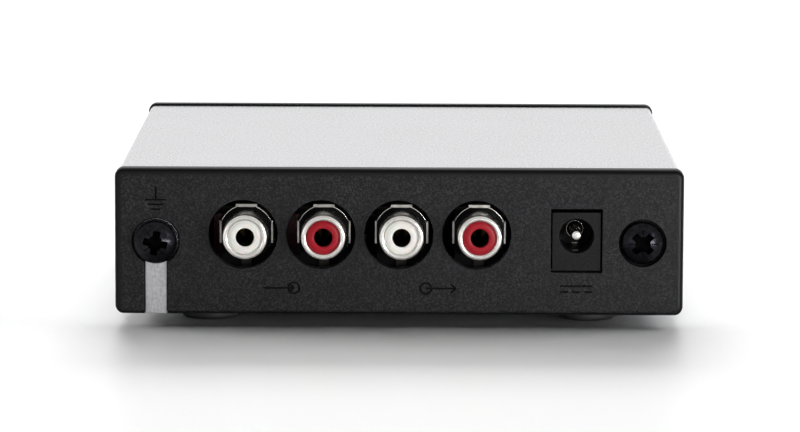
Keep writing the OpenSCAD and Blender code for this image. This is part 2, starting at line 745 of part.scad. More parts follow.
// A dual in-line chip with eight legs
module opamp(x, d) {
    leg_top = chip_lift + chip_h / 2 + lead_t / 2;
    notch_d = chip_w / 4;
    color("#202022") on_board(x, d) {
        difference() {
            block(-chip_w / 2, chip_w / 2, -chip_len / 2, chip_len / 2, chip_lift, chip_lift + chip_h);
            translate([0, -chip_len / 2, chip_lift + chip_h - lead_t]) cylinder(d = notch_d, h = chip_h);
        }
        for (s = [0, 1], i = [-1.5 : 1 : 1.5]) mirror([s, 0, 0]) translate([chip_w / 2, i * chip_pitch, 0]) {
            block(lead_t / 5, lead_t, -lead_t, lead_t, 0, leg_top);
            block(-lead_t / 2, lead_t, -lead_t, lead_t, leg_top - lead_t / 2, leg_top);
        }
    }
}

module film_capacitors() {
    color("crimson")
        for (p = [[-12.5, 9.5], [-7.5, 9.5], [-12.5, 20], [-7.5, 20],
                  [-2, 20], [3.5, 20], [-10, 25], [-4.5, 25]])
            on_board(p[0], p[1]) block(-film_w / 2, film_w / 2, -film_t / 2, film_t / 2, 0, film_h);
}

// A can capacitor with a grooved shoulder
module can(dia, h) {
    groove = dia / 16;
    difference() {
        cylinder(d = dia, h = h);
        translate([0, 0, 2 * groove]) difference() {
            cylinder(d = dia + groove, h = groove);
            cylinder(d = dia - groove, h = groove);
        }
    }
}

module signal_capacitors() {
    color("#23304a")
        for (p = [[-1.5, 9.5], [1.5, 9.5], [4.5, 9.5], [7.5, 9.5],
                  [-10, 15], [-1, 15], [7.5, 15.5], [9.5, 25]])
            on_board(p[0], p[1]) can(can_d, can_h);
}

module reservoir_capacitors() {
    color("#23304a") for (p = [[12.5, 17.5], [12.5, 22], [8.5, 20]])
        on_board(p[0], p[1]) can(reservoir_d, reservoir_h);
}

// Axial resistors lying on the board in rows, with thicker ends
module resistors() {
    end_len = resistor_len / 5;
    color("tan") for (d = [12, 17.5, 22.5, 27.5], k = [0 : 5])
        on_board(-13.5 + 3.5 * k, d) translate([0, 0, resistor_d / 2]) rotate([0, 90, 0]) {
            cylinder(d = 0.9 * resistor_d, h = resistor_len);
            cylinder(d = resistor_d, h = end_len);
            translate([0, 0, resistor_len - end_len]) cylinder(d = resistor_d, h = end_len);
        }
}

// A flat regulator with three leads and a tab, all soldered to the board's top
module voltage_regulator() {
    pad_w = 0.8;
    color("#1e1e20") on_board(9.5, 12) {
        block(-regulator_w / 2, regulator_w / 2, 0, regulator_len, pad_w / 8, regulator_h);
        block(pad_w - regulator_w / 2, regulator_w / 2 - pad_w, regulator_len - eps, regulator_len + lead_t,
              0, lead_t);
        for (i = [-1, 0, 1]) translate([i * 0.35 * regulator_w, 0, 0])
            block(-pad_w / 2, pad_w / 2, -3 * pad_w, eps, 0, lead_t);
    }
}

module protection_diode() {
    color("#1e1e20") on_board(13.5, 7.5) translate([0, 0, diode_d / 2]) rotate([-90, 0, 0])
        cylinder(d = diode_d, h = diode_len);
}

module power_inductor() {
    rim = inductor_h / 5;
    color("#2c2c2e") on_board(13, 13) {
        cylinder(d = inductor_d, h = rim);
        cylinder(d = 0.7 * inductor_d, h = inductor_h);
        translate([0, 0, inductor_h - rim]) cylinder(d = inductor_d, h = rim);
    }
}

// Indicator lamp: a round body with a collar behind the front cap's face
module power_led() {
    collar_y = front_y - front_wall - snug;
    color("#dfe6ef") {
        bar_y(led_d, 0, collar_y - led_back, front_y + led_proud - led_d / 4, led_z);
        intersection() {
            bar_y(led_d, 0, collar_y, front_y + led_proud, led_z);
            translate([0, front_y + led_proud - 0.65 * led_d, led_z]) sphere(r = 0.65 * led_d, $fn = 48);
        }
        bar_y(led_flange_d, 0, collar_y - 1, collar_y, led_z);
    }
}

// Two leads from the indicator back and down through the board
module led_leads() {
    y1 = front_y - front_wall - led_back - 2 * snug;
    y0 = sleeve_y1 - board_end_gap - 3;
    color("#c8c8cc") for (s = [-1, 1]) {
        block(s * 0.9 - lead_t / 2, s * 0.9 + lead_t / 2, y0, y1, led_z - lead_t / 2, led_z + lead_t / 2);
        block(s * 0.9 - lead_t / 2, s * 0.9 + lead_t / 2, y0, y0 + lead_t, board_z1, led_z + lead_t / 2);
    }
}

sleeve();
rear_cap();
front_cap();
cap_screws();
foot(-1, rear_y + foot_in);  // foot_rear_left
foot(1, rear_y + foot_in);  // foot_rear_right
foot(-1, front_y - foot_in);  // foot_front_left
foot(1, front_y - foot_in);  // foot_front_right
ground_screw();
ground_thread();
ground_washer();
ground_strap();
main_board();
jack_shell(0);  // input_left_shell
jack_insulator(0, "white");  // input_left_insulator
jack_contact(0);  // input_left_contact
jack_body(0);  // input_left_body
jack_shell(1);  // input_right_shell
jack_insulator(1, "#b01828");  // input_right_insulator
jack_contact(1);  // input_right_contact
jack_body(1);  // input_right_body
jack_shell(2);  // output_left_shell
jack_insulator(2, "white");  // output_left_insulator
jack_contact(2);  // output_left_contact
jack_body(2);  // output_left_body
jack_shell(3);  // output_right_shell
jack_insulator(3, "#b01828");  // output_right_insulator
jack_contact(3);  // output_right_contact
jack_body(3);  // output_right_body
inlet_body();
inlet_pin();
inlet_leaf();
inlet_leaf_terminal();
inlet_switch_contact();
opamp(-5.5, 15);  // input_opamp
opamp(3.5, 15);  // output_opamp
film_capacitors();
signal_capacitors();
reservoir_capacitors();
resistors();
voltage_regulator();
protection_diode();
power_inductor();
power_led();
led_leads();
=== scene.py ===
"""Dresses a small phono preamplifier: sleeve, end caps, jacks, inlet, ground terminal and feet."""

from __future__ import annotations

import logging
from collections.abc import Callable, Sequence
from dataclasses import dataclass, field
from enum import Enum
from math import atan2, cos, degrees, hypot, pi, radians, sin, sqrt, tau

import bmesh
import bpy
from mathutils import Matrix, Vector


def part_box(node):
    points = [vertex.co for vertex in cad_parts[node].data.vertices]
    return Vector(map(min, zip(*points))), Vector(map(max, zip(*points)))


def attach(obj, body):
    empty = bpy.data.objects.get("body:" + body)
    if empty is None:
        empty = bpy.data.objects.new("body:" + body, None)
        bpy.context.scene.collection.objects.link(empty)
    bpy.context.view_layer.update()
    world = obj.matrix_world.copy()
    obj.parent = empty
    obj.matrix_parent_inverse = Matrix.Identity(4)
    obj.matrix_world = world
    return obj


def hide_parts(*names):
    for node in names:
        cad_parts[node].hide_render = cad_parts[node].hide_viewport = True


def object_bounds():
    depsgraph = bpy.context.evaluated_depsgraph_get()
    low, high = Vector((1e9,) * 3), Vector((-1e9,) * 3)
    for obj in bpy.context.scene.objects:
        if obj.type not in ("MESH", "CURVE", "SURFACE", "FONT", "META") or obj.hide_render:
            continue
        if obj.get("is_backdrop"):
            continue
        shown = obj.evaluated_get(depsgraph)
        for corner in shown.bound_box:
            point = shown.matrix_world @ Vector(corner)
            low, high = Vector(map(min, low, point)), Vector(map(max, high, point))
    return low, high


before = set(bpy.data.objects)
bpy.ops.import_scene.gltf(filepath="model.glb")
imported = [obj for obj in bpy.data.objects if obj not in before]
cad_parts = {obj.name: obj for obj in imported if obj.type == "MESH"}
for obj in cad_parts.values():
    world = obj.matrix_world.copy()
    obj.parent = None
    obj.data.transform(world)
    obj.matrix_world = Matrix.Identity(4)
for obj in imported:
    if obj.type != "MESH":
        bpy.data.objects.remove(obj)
LOG = logging.getLogger("phono_preamplifier")
MM = 0.001

Node = bpy.types.Node
Socket = bpy.types.NodeSocket
Edge = bmesh.types.BMEdge
Face = bmesh.types.BMFace
Span = tuple[float, float]
Triple = tuple[float, float, float]


class Body(str, Enum):
    """The bodies that pieces ride on."""

    CASE = "case"
    CLAMP = "ground_clamp"
    SCREW = "ground_screw"
    LEAF = "inlet_contact"


class Slot(str, Enum):
    """The record's material slots."""

    SLEEVE = "bead_blasted_aluminium"
    STRIP = "plain_aluminium"
    ABS = "black_abs"
    POLYESTER = "black_polyester"
    STEEL = "black_steel"
    RUBBER = "black_rubber"
    NICKEL = "nickel_plate"
    WHITE = "white_polymer"
    RED = "red_polymer"
    BRASS = "plain_brass"
    EPOXY = "clear_epoxy"


class End(str, Enum):
    """The ends of the case."""

    REAR = "rear"
    FRONT = "front"


def linear(code: str) -> tuple[float, float, float, float]:
    """Turns an sRGB hex colour to linear.

    Args:
        code: The colour, such as "#1b1b1d".

    Returns:
        Red, green, blue and an alpha of one.
    """
    parts = [int(code[i : i + 2], 16) / 255 for i in (1, 3, 5)]
    red, green, blue = (p / 12.92 if p <= 0.04045 else ((p + 0.055) / 1.055) ** 2.4 for p in parts)
    return red, green, blue, 1.0


def per_mm(size: float) -> float:
    """A texture scale at which a feature is about size millimetres wide."""
    return 1 / (size * MM)


@dataclass(frozen=True)
class NodeGraph:
    """A tree of shader nodes and the shader that they lead to."""

    tree: bpy.types.NodeTree
    shader: Node

    def add(self, kind: str, inputs: dict[str | int, object] | None = None, **settings: object) -> Node:
        """Adds a node with its settings, values and links.

        Args:
            kind: The node's type.
            inputs: A value or a linked socket for each named or numbered input.
            **settings: The node's own settings.

        Returns:
            The node.
        """
        node = self.tree.nodes.new(kind)
        for name, value in settings.items():
            setattr(node, name, value)
        for name, value in (inputs or {}).items():
            self.feed(node.inputs[name], value)
        return node

    def feed(self, socket: Socket, value: object) -> None:
        """Links an input to a socket, or gives it a plain value.

        Args:
            socket: The input.
            value: The value or the socket.
        """
        if isinstance(value, Socket):
            self.tree.links.new(value, socket)
        else:
            socket.default_value = value

    def wire(self, **inputs: object) -> None:
        """Sets or links inputs of the shader.

        Args:
            **inputs: A value or a socket for each input, named with _ for a space.
        """
        for name, value in inputs.items():
            self.feed(self.shader.inputs[name.replace("_", " ")], value)

    def grain(self, size: float, detail: float = 2.0, stretch: Triple = (1, 1, 1)) -> Socket:
        """Adds a noise on Object coordinates.

        Args:
            size: Width of a grain in millimetres.
            detail: Octaves of finer noise.
            stretch: How many times finer the grain is along each axis.

        Returns:
            The noise's value, from 0 to 1.
        """
        place = self.add("ShaderNodeTexCoord").outputs["Object"]
        scaled = self.add("ShaderNodeMapping", {"Vector": place, "Scale": stretch}).outputs[0]
        shape = {"Vector": scaled, "Scale": per_mm(size), "Detail": detail}
        return self.add("ShaderNodeTexNoise", shape).outputs[0]

    def spread(
        self, source: Socket, low: float | Socket = 0.0, high: float = 1.0, within: Span = (0.3, 0.7)
    ) -> Socket:
        """Maps a stretch of a value to the range from low to high.

        Args:
            source: The value.
            low: The result where the stretch starts, and below.
            high: The result where it ends, and past that.
            within: The stretch. The usual one is where most of a noise lies.

        Returns:
            The mapped value.
        """
        ends = {"From Min": within[0], "From Max": within[1], "To Min": low, "To Max": high}
        return self.add("ShaderNodeMapRange", {"Value": source, **ends}).outputs[0]

    def blend(self, share: Socket, first: str | Socket, second: str | Socket) -> Socket:
        """Mixes two colours, each a hex code or a socket.

        Args:
            share: The second colour's share.
            first: The first colour.
            second: The second colour.

        Returns:
            The mixed colour.
        """
        a, b = (linear(c) if isinstance(c, str) else c for c in (first, second))
        return self.add("ShaderNodeMix", {0: share, 6: a, 7: b}, data_type="RGBA").outputs[2]

    def relief(self, height: Socket, rise: float, strength: float | Socket = 1.0) -> Socket:
        """Turns a height to a bump.

        Args:
            height: The height, from 0 to 1.
            rise: The rise from 0 to 1 in millimetres.
            strength: Share of the bump that shows.

        Returns:
            The bumped normal.
        """
        shape = {"Height": height, "Distance": rise * MM, "Strength": strength}
        return self.add("ShaderNodeBump", shape).outputs[0]


# ---------------------------------------------------------------- finishes


@dataclass(frozen=True)
class Finish:
    """A surface: what it is made of and how it was made. Its sizes are in millimetres."""

    name: str

    def material(self) -> bpy.types.Material:
        """Makes the finish's material, once.

        Returns:
            The material.
        """
        known = bpy.data.materials.get(self.name)
        if known is not None:
            return known
        material = bpy.data.materials.new(self.name)
        material.use_nodes = True
        self.dress(NodeGraph(material.node_tree, material.node_tree.nodes["Principled BSDF"]))
        return material

    def dress(self, graph: NodeGraph) -> None:
        """Sets the finish's shader."""
        raise NotImplementedError


@dataclass(frozen=True)
class SparkErodedAbs(Finish):
    """Black plastic from a spark-eroded mould: a dull, even grain of small flecks.

    The grain is drawn coarser than the real one, so that it shows. The rims at the top and the sides are
    smoother, because hands and cloths polish them. They are also darker, which is painted shade: the dark
    reflection of the room on the rounded edges.
    """

    name: str = "spark_eroded_abs"
    colour: str = "#0e0e0f"
    fleck: str = "#3b3b3d"
    grain_size: float = 0.27
    fleck_heights: Span = (0.44, 0.74)
    cloud_size: float = 6.0
    cloud_share: float = 0.25
    roughness: Span = (0.5, 0.66)
    gloss: float = 0.13
    ior: float = 1.53
    rise: float = 0.05
    rim: Span = (0.84, 1.56)
    painted_rim_shade: str = "#060607"
    rim_roughness: float = 0.4

    def dress(self, graph: NodeGraph) -> None:
        """Sets the finish's shader.

        Args:
            graph: The material's nodes.
        """
        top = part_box("rear_cap")[1]
        fine = graph.grain(self.grain_size, detail=3.0)
        cloud = graph.grain(self.cloud_size, detail=1.0)
        place = graph.add("ShaderNodeTexCoord").outputs["Object"]
        parts = graph.add("ShaderNodeSeparateXYZ", {0: place}).outputs
        side = graph.add("ShaderNodeMath", {0: parts[0]}, operation="ABSOLUTE").outputs[0]
        inset_x = graph.add("ShaderNodeMath", {0: top.x, 1: side}, operation="SUBTRACT").outputs[0]
        inset_z = graph.add("ShaderNodeMath", {0: top.z, 1: parts[2]}, operation="SUBTRACT").outputs[0]
        inset = graph.add("ShaderNodeMath", {0: inset_x, 1: inset_z}, operation="MINIMUM").outputs[0]
        inside = graph.spread(inset, within=(self.rim[0] * MM, self.rim[1] * MM))
        tone = graph.blend(graph.spread(fine, within=self.fleck_heights), self.colour, self.fleck)
        dullness = {0: inside, 2: self.rim_roughness, 3: graph.spread(fine, *self.roughness)}
        shade = graph.blend(graph.spread(cloud, 0.0, self.cloud_share), tone, self.colour)
        graph.wire(
            # The rims take a darker colour as painted shade, standing in for the dark room that their rounded
            # edges reflect.
            Base_Color=graph.blend(inside, self.painted_rim_shade, shade),
            Roughness=graph.add("ShaderNodeMix", dullness).outputs[0],
            Specular_IOR_Level=self.gloss,
            IOR=self.ior,
            Normal=graph.relief(fine, self.rise, inside),
        )


@dataclass(frozen=True)
class BeadBlastedAluminium(Finish):
    """Extruded aluminium, bead blasted and clear anodised: a soft pale grey with a very fine sparkle.

    The blasted grain is drawn coarser than the real one, so that it shows.
    """

    name: str = "bead_blasted_aluminium_sleeve"
    colour: str = "#f4f4f7"
    pits: str = "#dadadd"
    peaks: str = "#ffffff"
    grain_size: float = 0.4
    grain_stretch: Triple = (1.0, 0.3, 1.0)
    cloud_size: float = 18.0
    cloud_share: float = 0.35
    roughness: Span = (0.44, 0.54)
    rise: float = 0.006

    def dress(self, graph: NodeGraph) -> None:
        """Sets the finish's shader.

        Args:
            graph: The material's nodes.
        """
        fine = graph.grain(self.grain_size, stretch=self.grain_stretch)
        cloud = graph.grain(self.cloud_size)
        tone = graph.blend(graph.spread(fine), self.pits, self.peaks)
        graph.wire(
            Base_Color=graph.blend(graph.spread(cloud, 0.0, self.cloud_share), tone, self.colour),
            Metallic=1.0,
            Roughness=graph.spread(fine, *self.roughness),
            Normal=graph.relief(fine, self.rise),
        )


@dataclass(frozen=True)
class RolledStrip(Finish):
    """Rolled aluminium strip: dull, with faint lines along its length and small dents."""

    name: str = "rolled_aluminium_strip"
    dark: str = "#8c8c8e"
    pale: str = "#b1b1b4"
    line_width: float = 0.3
    line_stretch: Triple = (1.0, 0.4, 0.4)
    dent_size: float = 0.5
    roughness: Span = (0.42, 0.58)
    rise: float = 0.015

    def dress(self, graph: NodeGraph) -> None:
        """Sets the finish's shader.

        Args:
            graph: The material's nodes.
        """
        lines = graph.grain(self.line_width, stretch=self.line_stretch)
        dents = graph.grain(self.dent_size, detail=3.0)
        both = graph.add("ShaderNodeMath", {0: lines, 1: dents}, operation="ADD").outputs[0]
        half = graph.add("ShaderNodeMath", {0: both, 1: 0.5}, operation="MULTIPLY").outputs[0]
        graph.wire(
            Base_Color=graph.blend(graph.spread(half), self.dark, self.pale),
            Metallic=1.0,
            Roughness=graph.spread(dents, *self.roughness),
            Normal=graph.relief(half, self.rise),
        )


@dataclass(frozen=True)
class CloudyMetal(Finish):
    """Plated or bare metal: soft clouds of two tones, the second one duller, over faint drawing marks.

    The marks are drawn coarser than real ones, so that they show.
    """

    first: str
    second: str
    roughness: Span
    cloud_size: float = 1.4
    mark_size: float = 0.2
    mark_stretch: Triple = (1.0, 0.2, 1.0)
    mark_detail: float = 2.0
    rise: float = 0.004

    def dress(self, graph: NodeGraph) -> None:
        """Sets the finish's shader.

        Args:
            graph: The material's nodes.
        """
        marks = graph.grain(self.mark_size, self.mark_detail, self.mark_stretch)
        cloud = graph.grain(self.cloud_size, detail=3.0)
        graph.wire(
            Base_Color=graph.blend(graph.spread(cloud), self.first, self.second),
            Metallic=1.0,
            Roughness=graph.spread(cloud, *self.roughness),
            Normal=graph.relief(marks, self.rise),
        )


@dataclass(frozen=True)
class Moulding(Finish):
    """A moulded plastic or rubber: nearly one colour, with faint flow marks and a fine skin."""

    colour: str
    second: str
    roughness: float
    skin: float
    rise: float = 0.01
    gloss: float = 0.5
    glow: float = 0.0
    glow_depth: float = 0.6
    flow: float = 8.0
    finer: float = 0.05
    duller: float = 0.08

    def dress(self, graph: NodeGraph) -> None:
        """Sets the finish's shader.

        Args:
            graph: The material's nodes.
        """
        skin = graph.grain(self.skin)
        flow = graph.grain(self.skin * self.flow)
        graph.wire(
            Base_Color=graph.blend(graph.spread(flow), self.colour, self.second),
            Roughness=graph.spread(skin, self.roughness - self.finer, self.roughness + self.duller),
            Specular_IOR_Level=self.gloss,
            Subsurface_Weight=self.glow,
            Subsurface_Scale=self.glow_depth * MM,
            Normal=graph.relief(skin, self.rise),
        )


@dataclass(frozen=True)
class SolderMask(Finish):
    """Green solder mask over copper tracks on glass laminate: glossy, with paler bands over the copper."""

    name: str = "green_solder_mask"
    bare: str = "#0d2a19"
    track: str = "#163d22"
    track_scale: float = 5.0
    track_gap: float = 0.05
    track_length: float = 1.8
    track_pitch: float = 0.4
    grain_size: float = 0.4
    roughness: Span = (0.25, 0.4)
    rise: float = 0.03

    def dress(self, graph: NodeGraph) -> None:
        """Sets the finish's shader.

        Args:
            graph: The material's nodes.
        """
        place = graph.add("ShaderNodeTexCoord").outputs["Object"]
        layout = {
            "Vector": place,
            "Scale": per_mm(self.track_scale),
            "Mortar Size": self.track_gap,
            "Brick Width": self.track_length,
            "Row Height": self.track_pitch,
        }
        tracks = graph.add("ShaderNodeTexBrick", layout).outputs[1]
        graph.wire(
            Base_Color=graph.blend(tracks, self.bare, self.track),
            Roughness=graph.spread(graph.grain(self.grain_size), *self.roughness),
            Normal=graph.relief(tracks, self.rise),
        )


@dataclass(frozen=True)
class CanSleeve(Finish):
    """Shrink sleeve round an aluminium can: dark film on the side, bare metal on top."""

    name: str = "shrink_sleeve_on_can"
    film: str = "#1d2b4a"
    metal: str = "#c2c2c5"
    upward: Span = (0.8, 0.9)
    grain_size: float = 0.5
    roughness: Span = (0.3, 0.42)
    rise: float = 0.01

    def dress(self, graph: NodeGraph) -> None:
        """Sets the finish's shader.

        Args:
            graph: The material's nodes.
        """
        facing = graph.add("ShaderNodeNewGeometry").outputs["Normal"]
        up = graph.add("ShaderNodeSeparateXYZ", {0: facing}).outputs[2]
        top = graph.spread(up, within=self.upward)
        fine = graph.grain(self.grain_size)
        graph.wire(
            Base_Color=graph.blend(top, self.film, self.metal),
            Metallic=top,
            Roughness=graph.spread(fine, *self.roughness),
            Normal=graph.relief(fine, self.rise),
        )


@dataclass(frozen=True)
class BandedLacquer(Finish):
    """Lacquered resistors: pale blue with rings of colour."""

    name: str = "banded_lacquer"
    lacquer: str = "#86a9bd"
    ring: str = "#7a2f22"
    ring_pitch: float = 9.0
    ring_share: Span = (0.85, 0.9)
    grain_size: float = 0.4
    roughness: Span = (0.2, 0.35)

    def dress(self, graph: NodeGraph) -> None:
        """Sets the finish's shader.

        Args:
            graph: The material's nodes.
        """
        place = graph.add("ShaderNodeTexCoord").outputs["Object"]
        layout = {"Vector": place, "Scale": per_mm(self.ring_pitch)}
        wave = graph.add("ShaderNodeTexWave", layout, bands_direction="X").outputs[1]
        graph.wire(
            Base_Color=graph.blend(graph.spread(wave, within=self.ring_share), self.lacquer, self.ring),
            Roughness=graph.spread(graph.grain(self.grain_size), *self.roughness),
        )


@dataclass(frozen=True)
class ClearEpoxy(Finish):
    """Cast clear epoxy: a lens with faint clouding inside."""

    name: str = "cast_clear_epoxy"
    first: str = "#eef3f8"
    second: str = "#dfe8f1"
    cloud_size: float = 1.0
    roughness: Span = (0.05, 0.15)
    clearness: float = 0.8
    ior: float = 1.52

    def dress(self, graph: NodeGraph) -> None:
        """Sets the finish's shader.

        Args:
            graph: The material's nodes.
        """
        cloud = graph.grain(self.cloud_size)
        graph.wire(
            Base_Color=graph.blend(graph.spread(cloud), self.first, self.second),
            Roughness=graph.spread(cloud, *self.roughness),
            Transmission_Weight=self.clearness,
            IOR=self.ior,
        )


EVEN = (1.0, 1.0, 1.0)

ABS = SparkErodedAbs()
# Polyester filled with glass: the same spark-eroded grain, finer and nearly black.
FILLED = SparkErodedAbs("glass_filled_polyester", "#050506", fleck="#242427", grain_size=0.22)
SLEEVE = BeadBlastedAluminium()
STRIP = RolledStrip()
# Steel with black zinc plate: a dark blue-grey shine, a little cloudy.
ZINC = CloudyMetal(
    "black_zinc_plate", "#19181b", "#262529", (0.16, 0.31), cloud_size=0.8, mark_size=0.15, mark_stretch=EVEN
)
# Bright nickel on pressed steel: a warm mirror with a few dull spots.
NICKEL = CloudyMetal("bright_nickel_plate", "#dddad6", "#c5c1bb", (0.15, 0.28))
# Tin on folded steel: a grey shine with no clear reflection.
TIN = CloudyMetal("dull_tin_plate", "#a9a7a3", "#84817c", (0.31, 0.44))
# Nickel darkened as painted shade, for parts deep in a dark opening: brown and soft.
DARKENED_NICKEL = CloudyMetal("nickel_plate_painted_shade", "#5d5a55", "#4a4844", (0.35, 0.48))
# Brass strip: yellow metal darkened overall as painted shade for its place deep in the bore, with brown
# tarnish in patches.
BRASS = CloudyMetal(
    "bare_brass",
    "#6b5630",
    "#4a3a20",
    (0.25, 0.45),
    cloud_size=1.0,
    mark_size=1.0,
    mark_stretch=EVEN,
    mark_detail=3.0,
)
# ABS off polished steel: smooth and dark, for engraved signs and screw sinks. In the signs the dark is partly
# their smoother skin and partly painted shade; in the sinks it is painted shade round the screw heads.
POLISHED_ABS_SHADE = Moulding("polished_abs_painted_shade", "#09090a", "#0b0b0c", roughness=0.6, skin=0.5, rise=0.002, gloss=0.05)
# Black zinc down in a screw's recess, painted near black as shade, where no light comes back.
RECESS_SHADE = Moulding(
    "painted_shade_in_recess", "#010101", "#020202", roughness=0.6, skin=0.3, rise=0.01, gloss=0.02
)
# Jet black polyester off a fine mould: dull and plain.
DARK_POLYESTER = Moulding(
    "jet_black_polyester", "#030304", "#040405", roughness=0.6, skin=0.3, rise=0.01, gloss=0.05
)
# Polyester off a smooth mould: black with a faint shine.
GLOSSY_POLYESTER = Moulding(
    "smooth_polyester", "#020203", "#030304", roughness=0.4, skin=0.5, rise=0.004, gloss=0.05
)
# Moulded rubber: charcoal, dull, with a visible skin.
RUBBER = Moulding("moulded_rubber", "#171717", "#1e1e1e", roughness=0.65, skin=0.35, rise=0.02, gloss=0.4)
# White insulator: a warm white that light enters a little.
WHITE = Moulding(
    "white_insulator_moulding", "#f3f0eb", "#eeeae4", roughness=0.3, skin=0.6, rise=0.004, glow=0.15
)
# Red insulator: a deep, even red.
RED = Moulding(
    "red_insulator_moulding", "#a00a1e", "#96081b", roughness=0.35, skin=0.6, rise=0.004, gloss=0.2, glow=0.05
)
# Chip packages: dull charcoal epoxy.
CHIP = Moulding("chip_moulding", "#1c1c1d", "#222223", roughness=0.55, skin=0.2, rise=0.01, gloss=0.4)
# Film capacitor boxes: glossy dark red.
FILM_BOX = Moulding("film_capacitor_box", "#8e1d20", "#7d181b", roughness=0.3, skin=0.5, rise=0.006)
# Sintered ferrite: dark grey and slightly rough.
FERRITE = Moulding("sintered_ferrite", "#29292b", "#333335", roughness=0.6, skin=0.4, rise=0.03)

NODE_FINISHES: dict[str, Finish] = {
    "main_board": SolderMask(),
    "input_opamp": CHIP,
    "output_opamp": CHIP,
    "voltage_regulator": CHIP,
    "protection_diode": CHIP,
    "film_capacitors": FILM_BOX,
    "signal_capacitors": CanSleeve(),
    "reservoir_capacitors": CanSleeve("shrink_sleeve_on_large_can", "#18181b"),
    "resistors": BandedLacquer(),
    "power_inductor": FERRITE,
    "led_leads": TIN,
    "inlet_leaf_terminal": NICKEL,
    "inlet_switch_contact": NICKEL,
}


# ---------------------------------------------------------------- workshop


def is_sharp(edge: Edge, past: float) -> bool:
    """Whether two faces meet at an edge with more than an angle in degrees."""
    return degrees(edge.calc_face_angle(0)) > past


def is_rim(edge: Edge, depth: float, reach: float = 0.01, past: float = 50) -> bool:
    """Whether an edge is sharp and lies at a depth along Y."""
    return all(abs(v.co.y - depth) < reach for v in edge.verts) and is_sharp(edge, past)


@dataclass(frozen=True)
class Extent:
    """The box round a CAD node, in millimetres."""

    low: Vector
    high: Vector

    @classmethod
    def of(cls, node: str) -> Extent:
        """Measures a node."""
        low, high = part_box(node)
        return cls(low / MM, high / MM)

    @property
    def middle(self) -> Vector:
        """The middle of the box."""
        return (self.low + self.high) / 2

    @property
    def size(self) -> Vector:
        """The box's width, depth and height."""
        return self.high - self.low


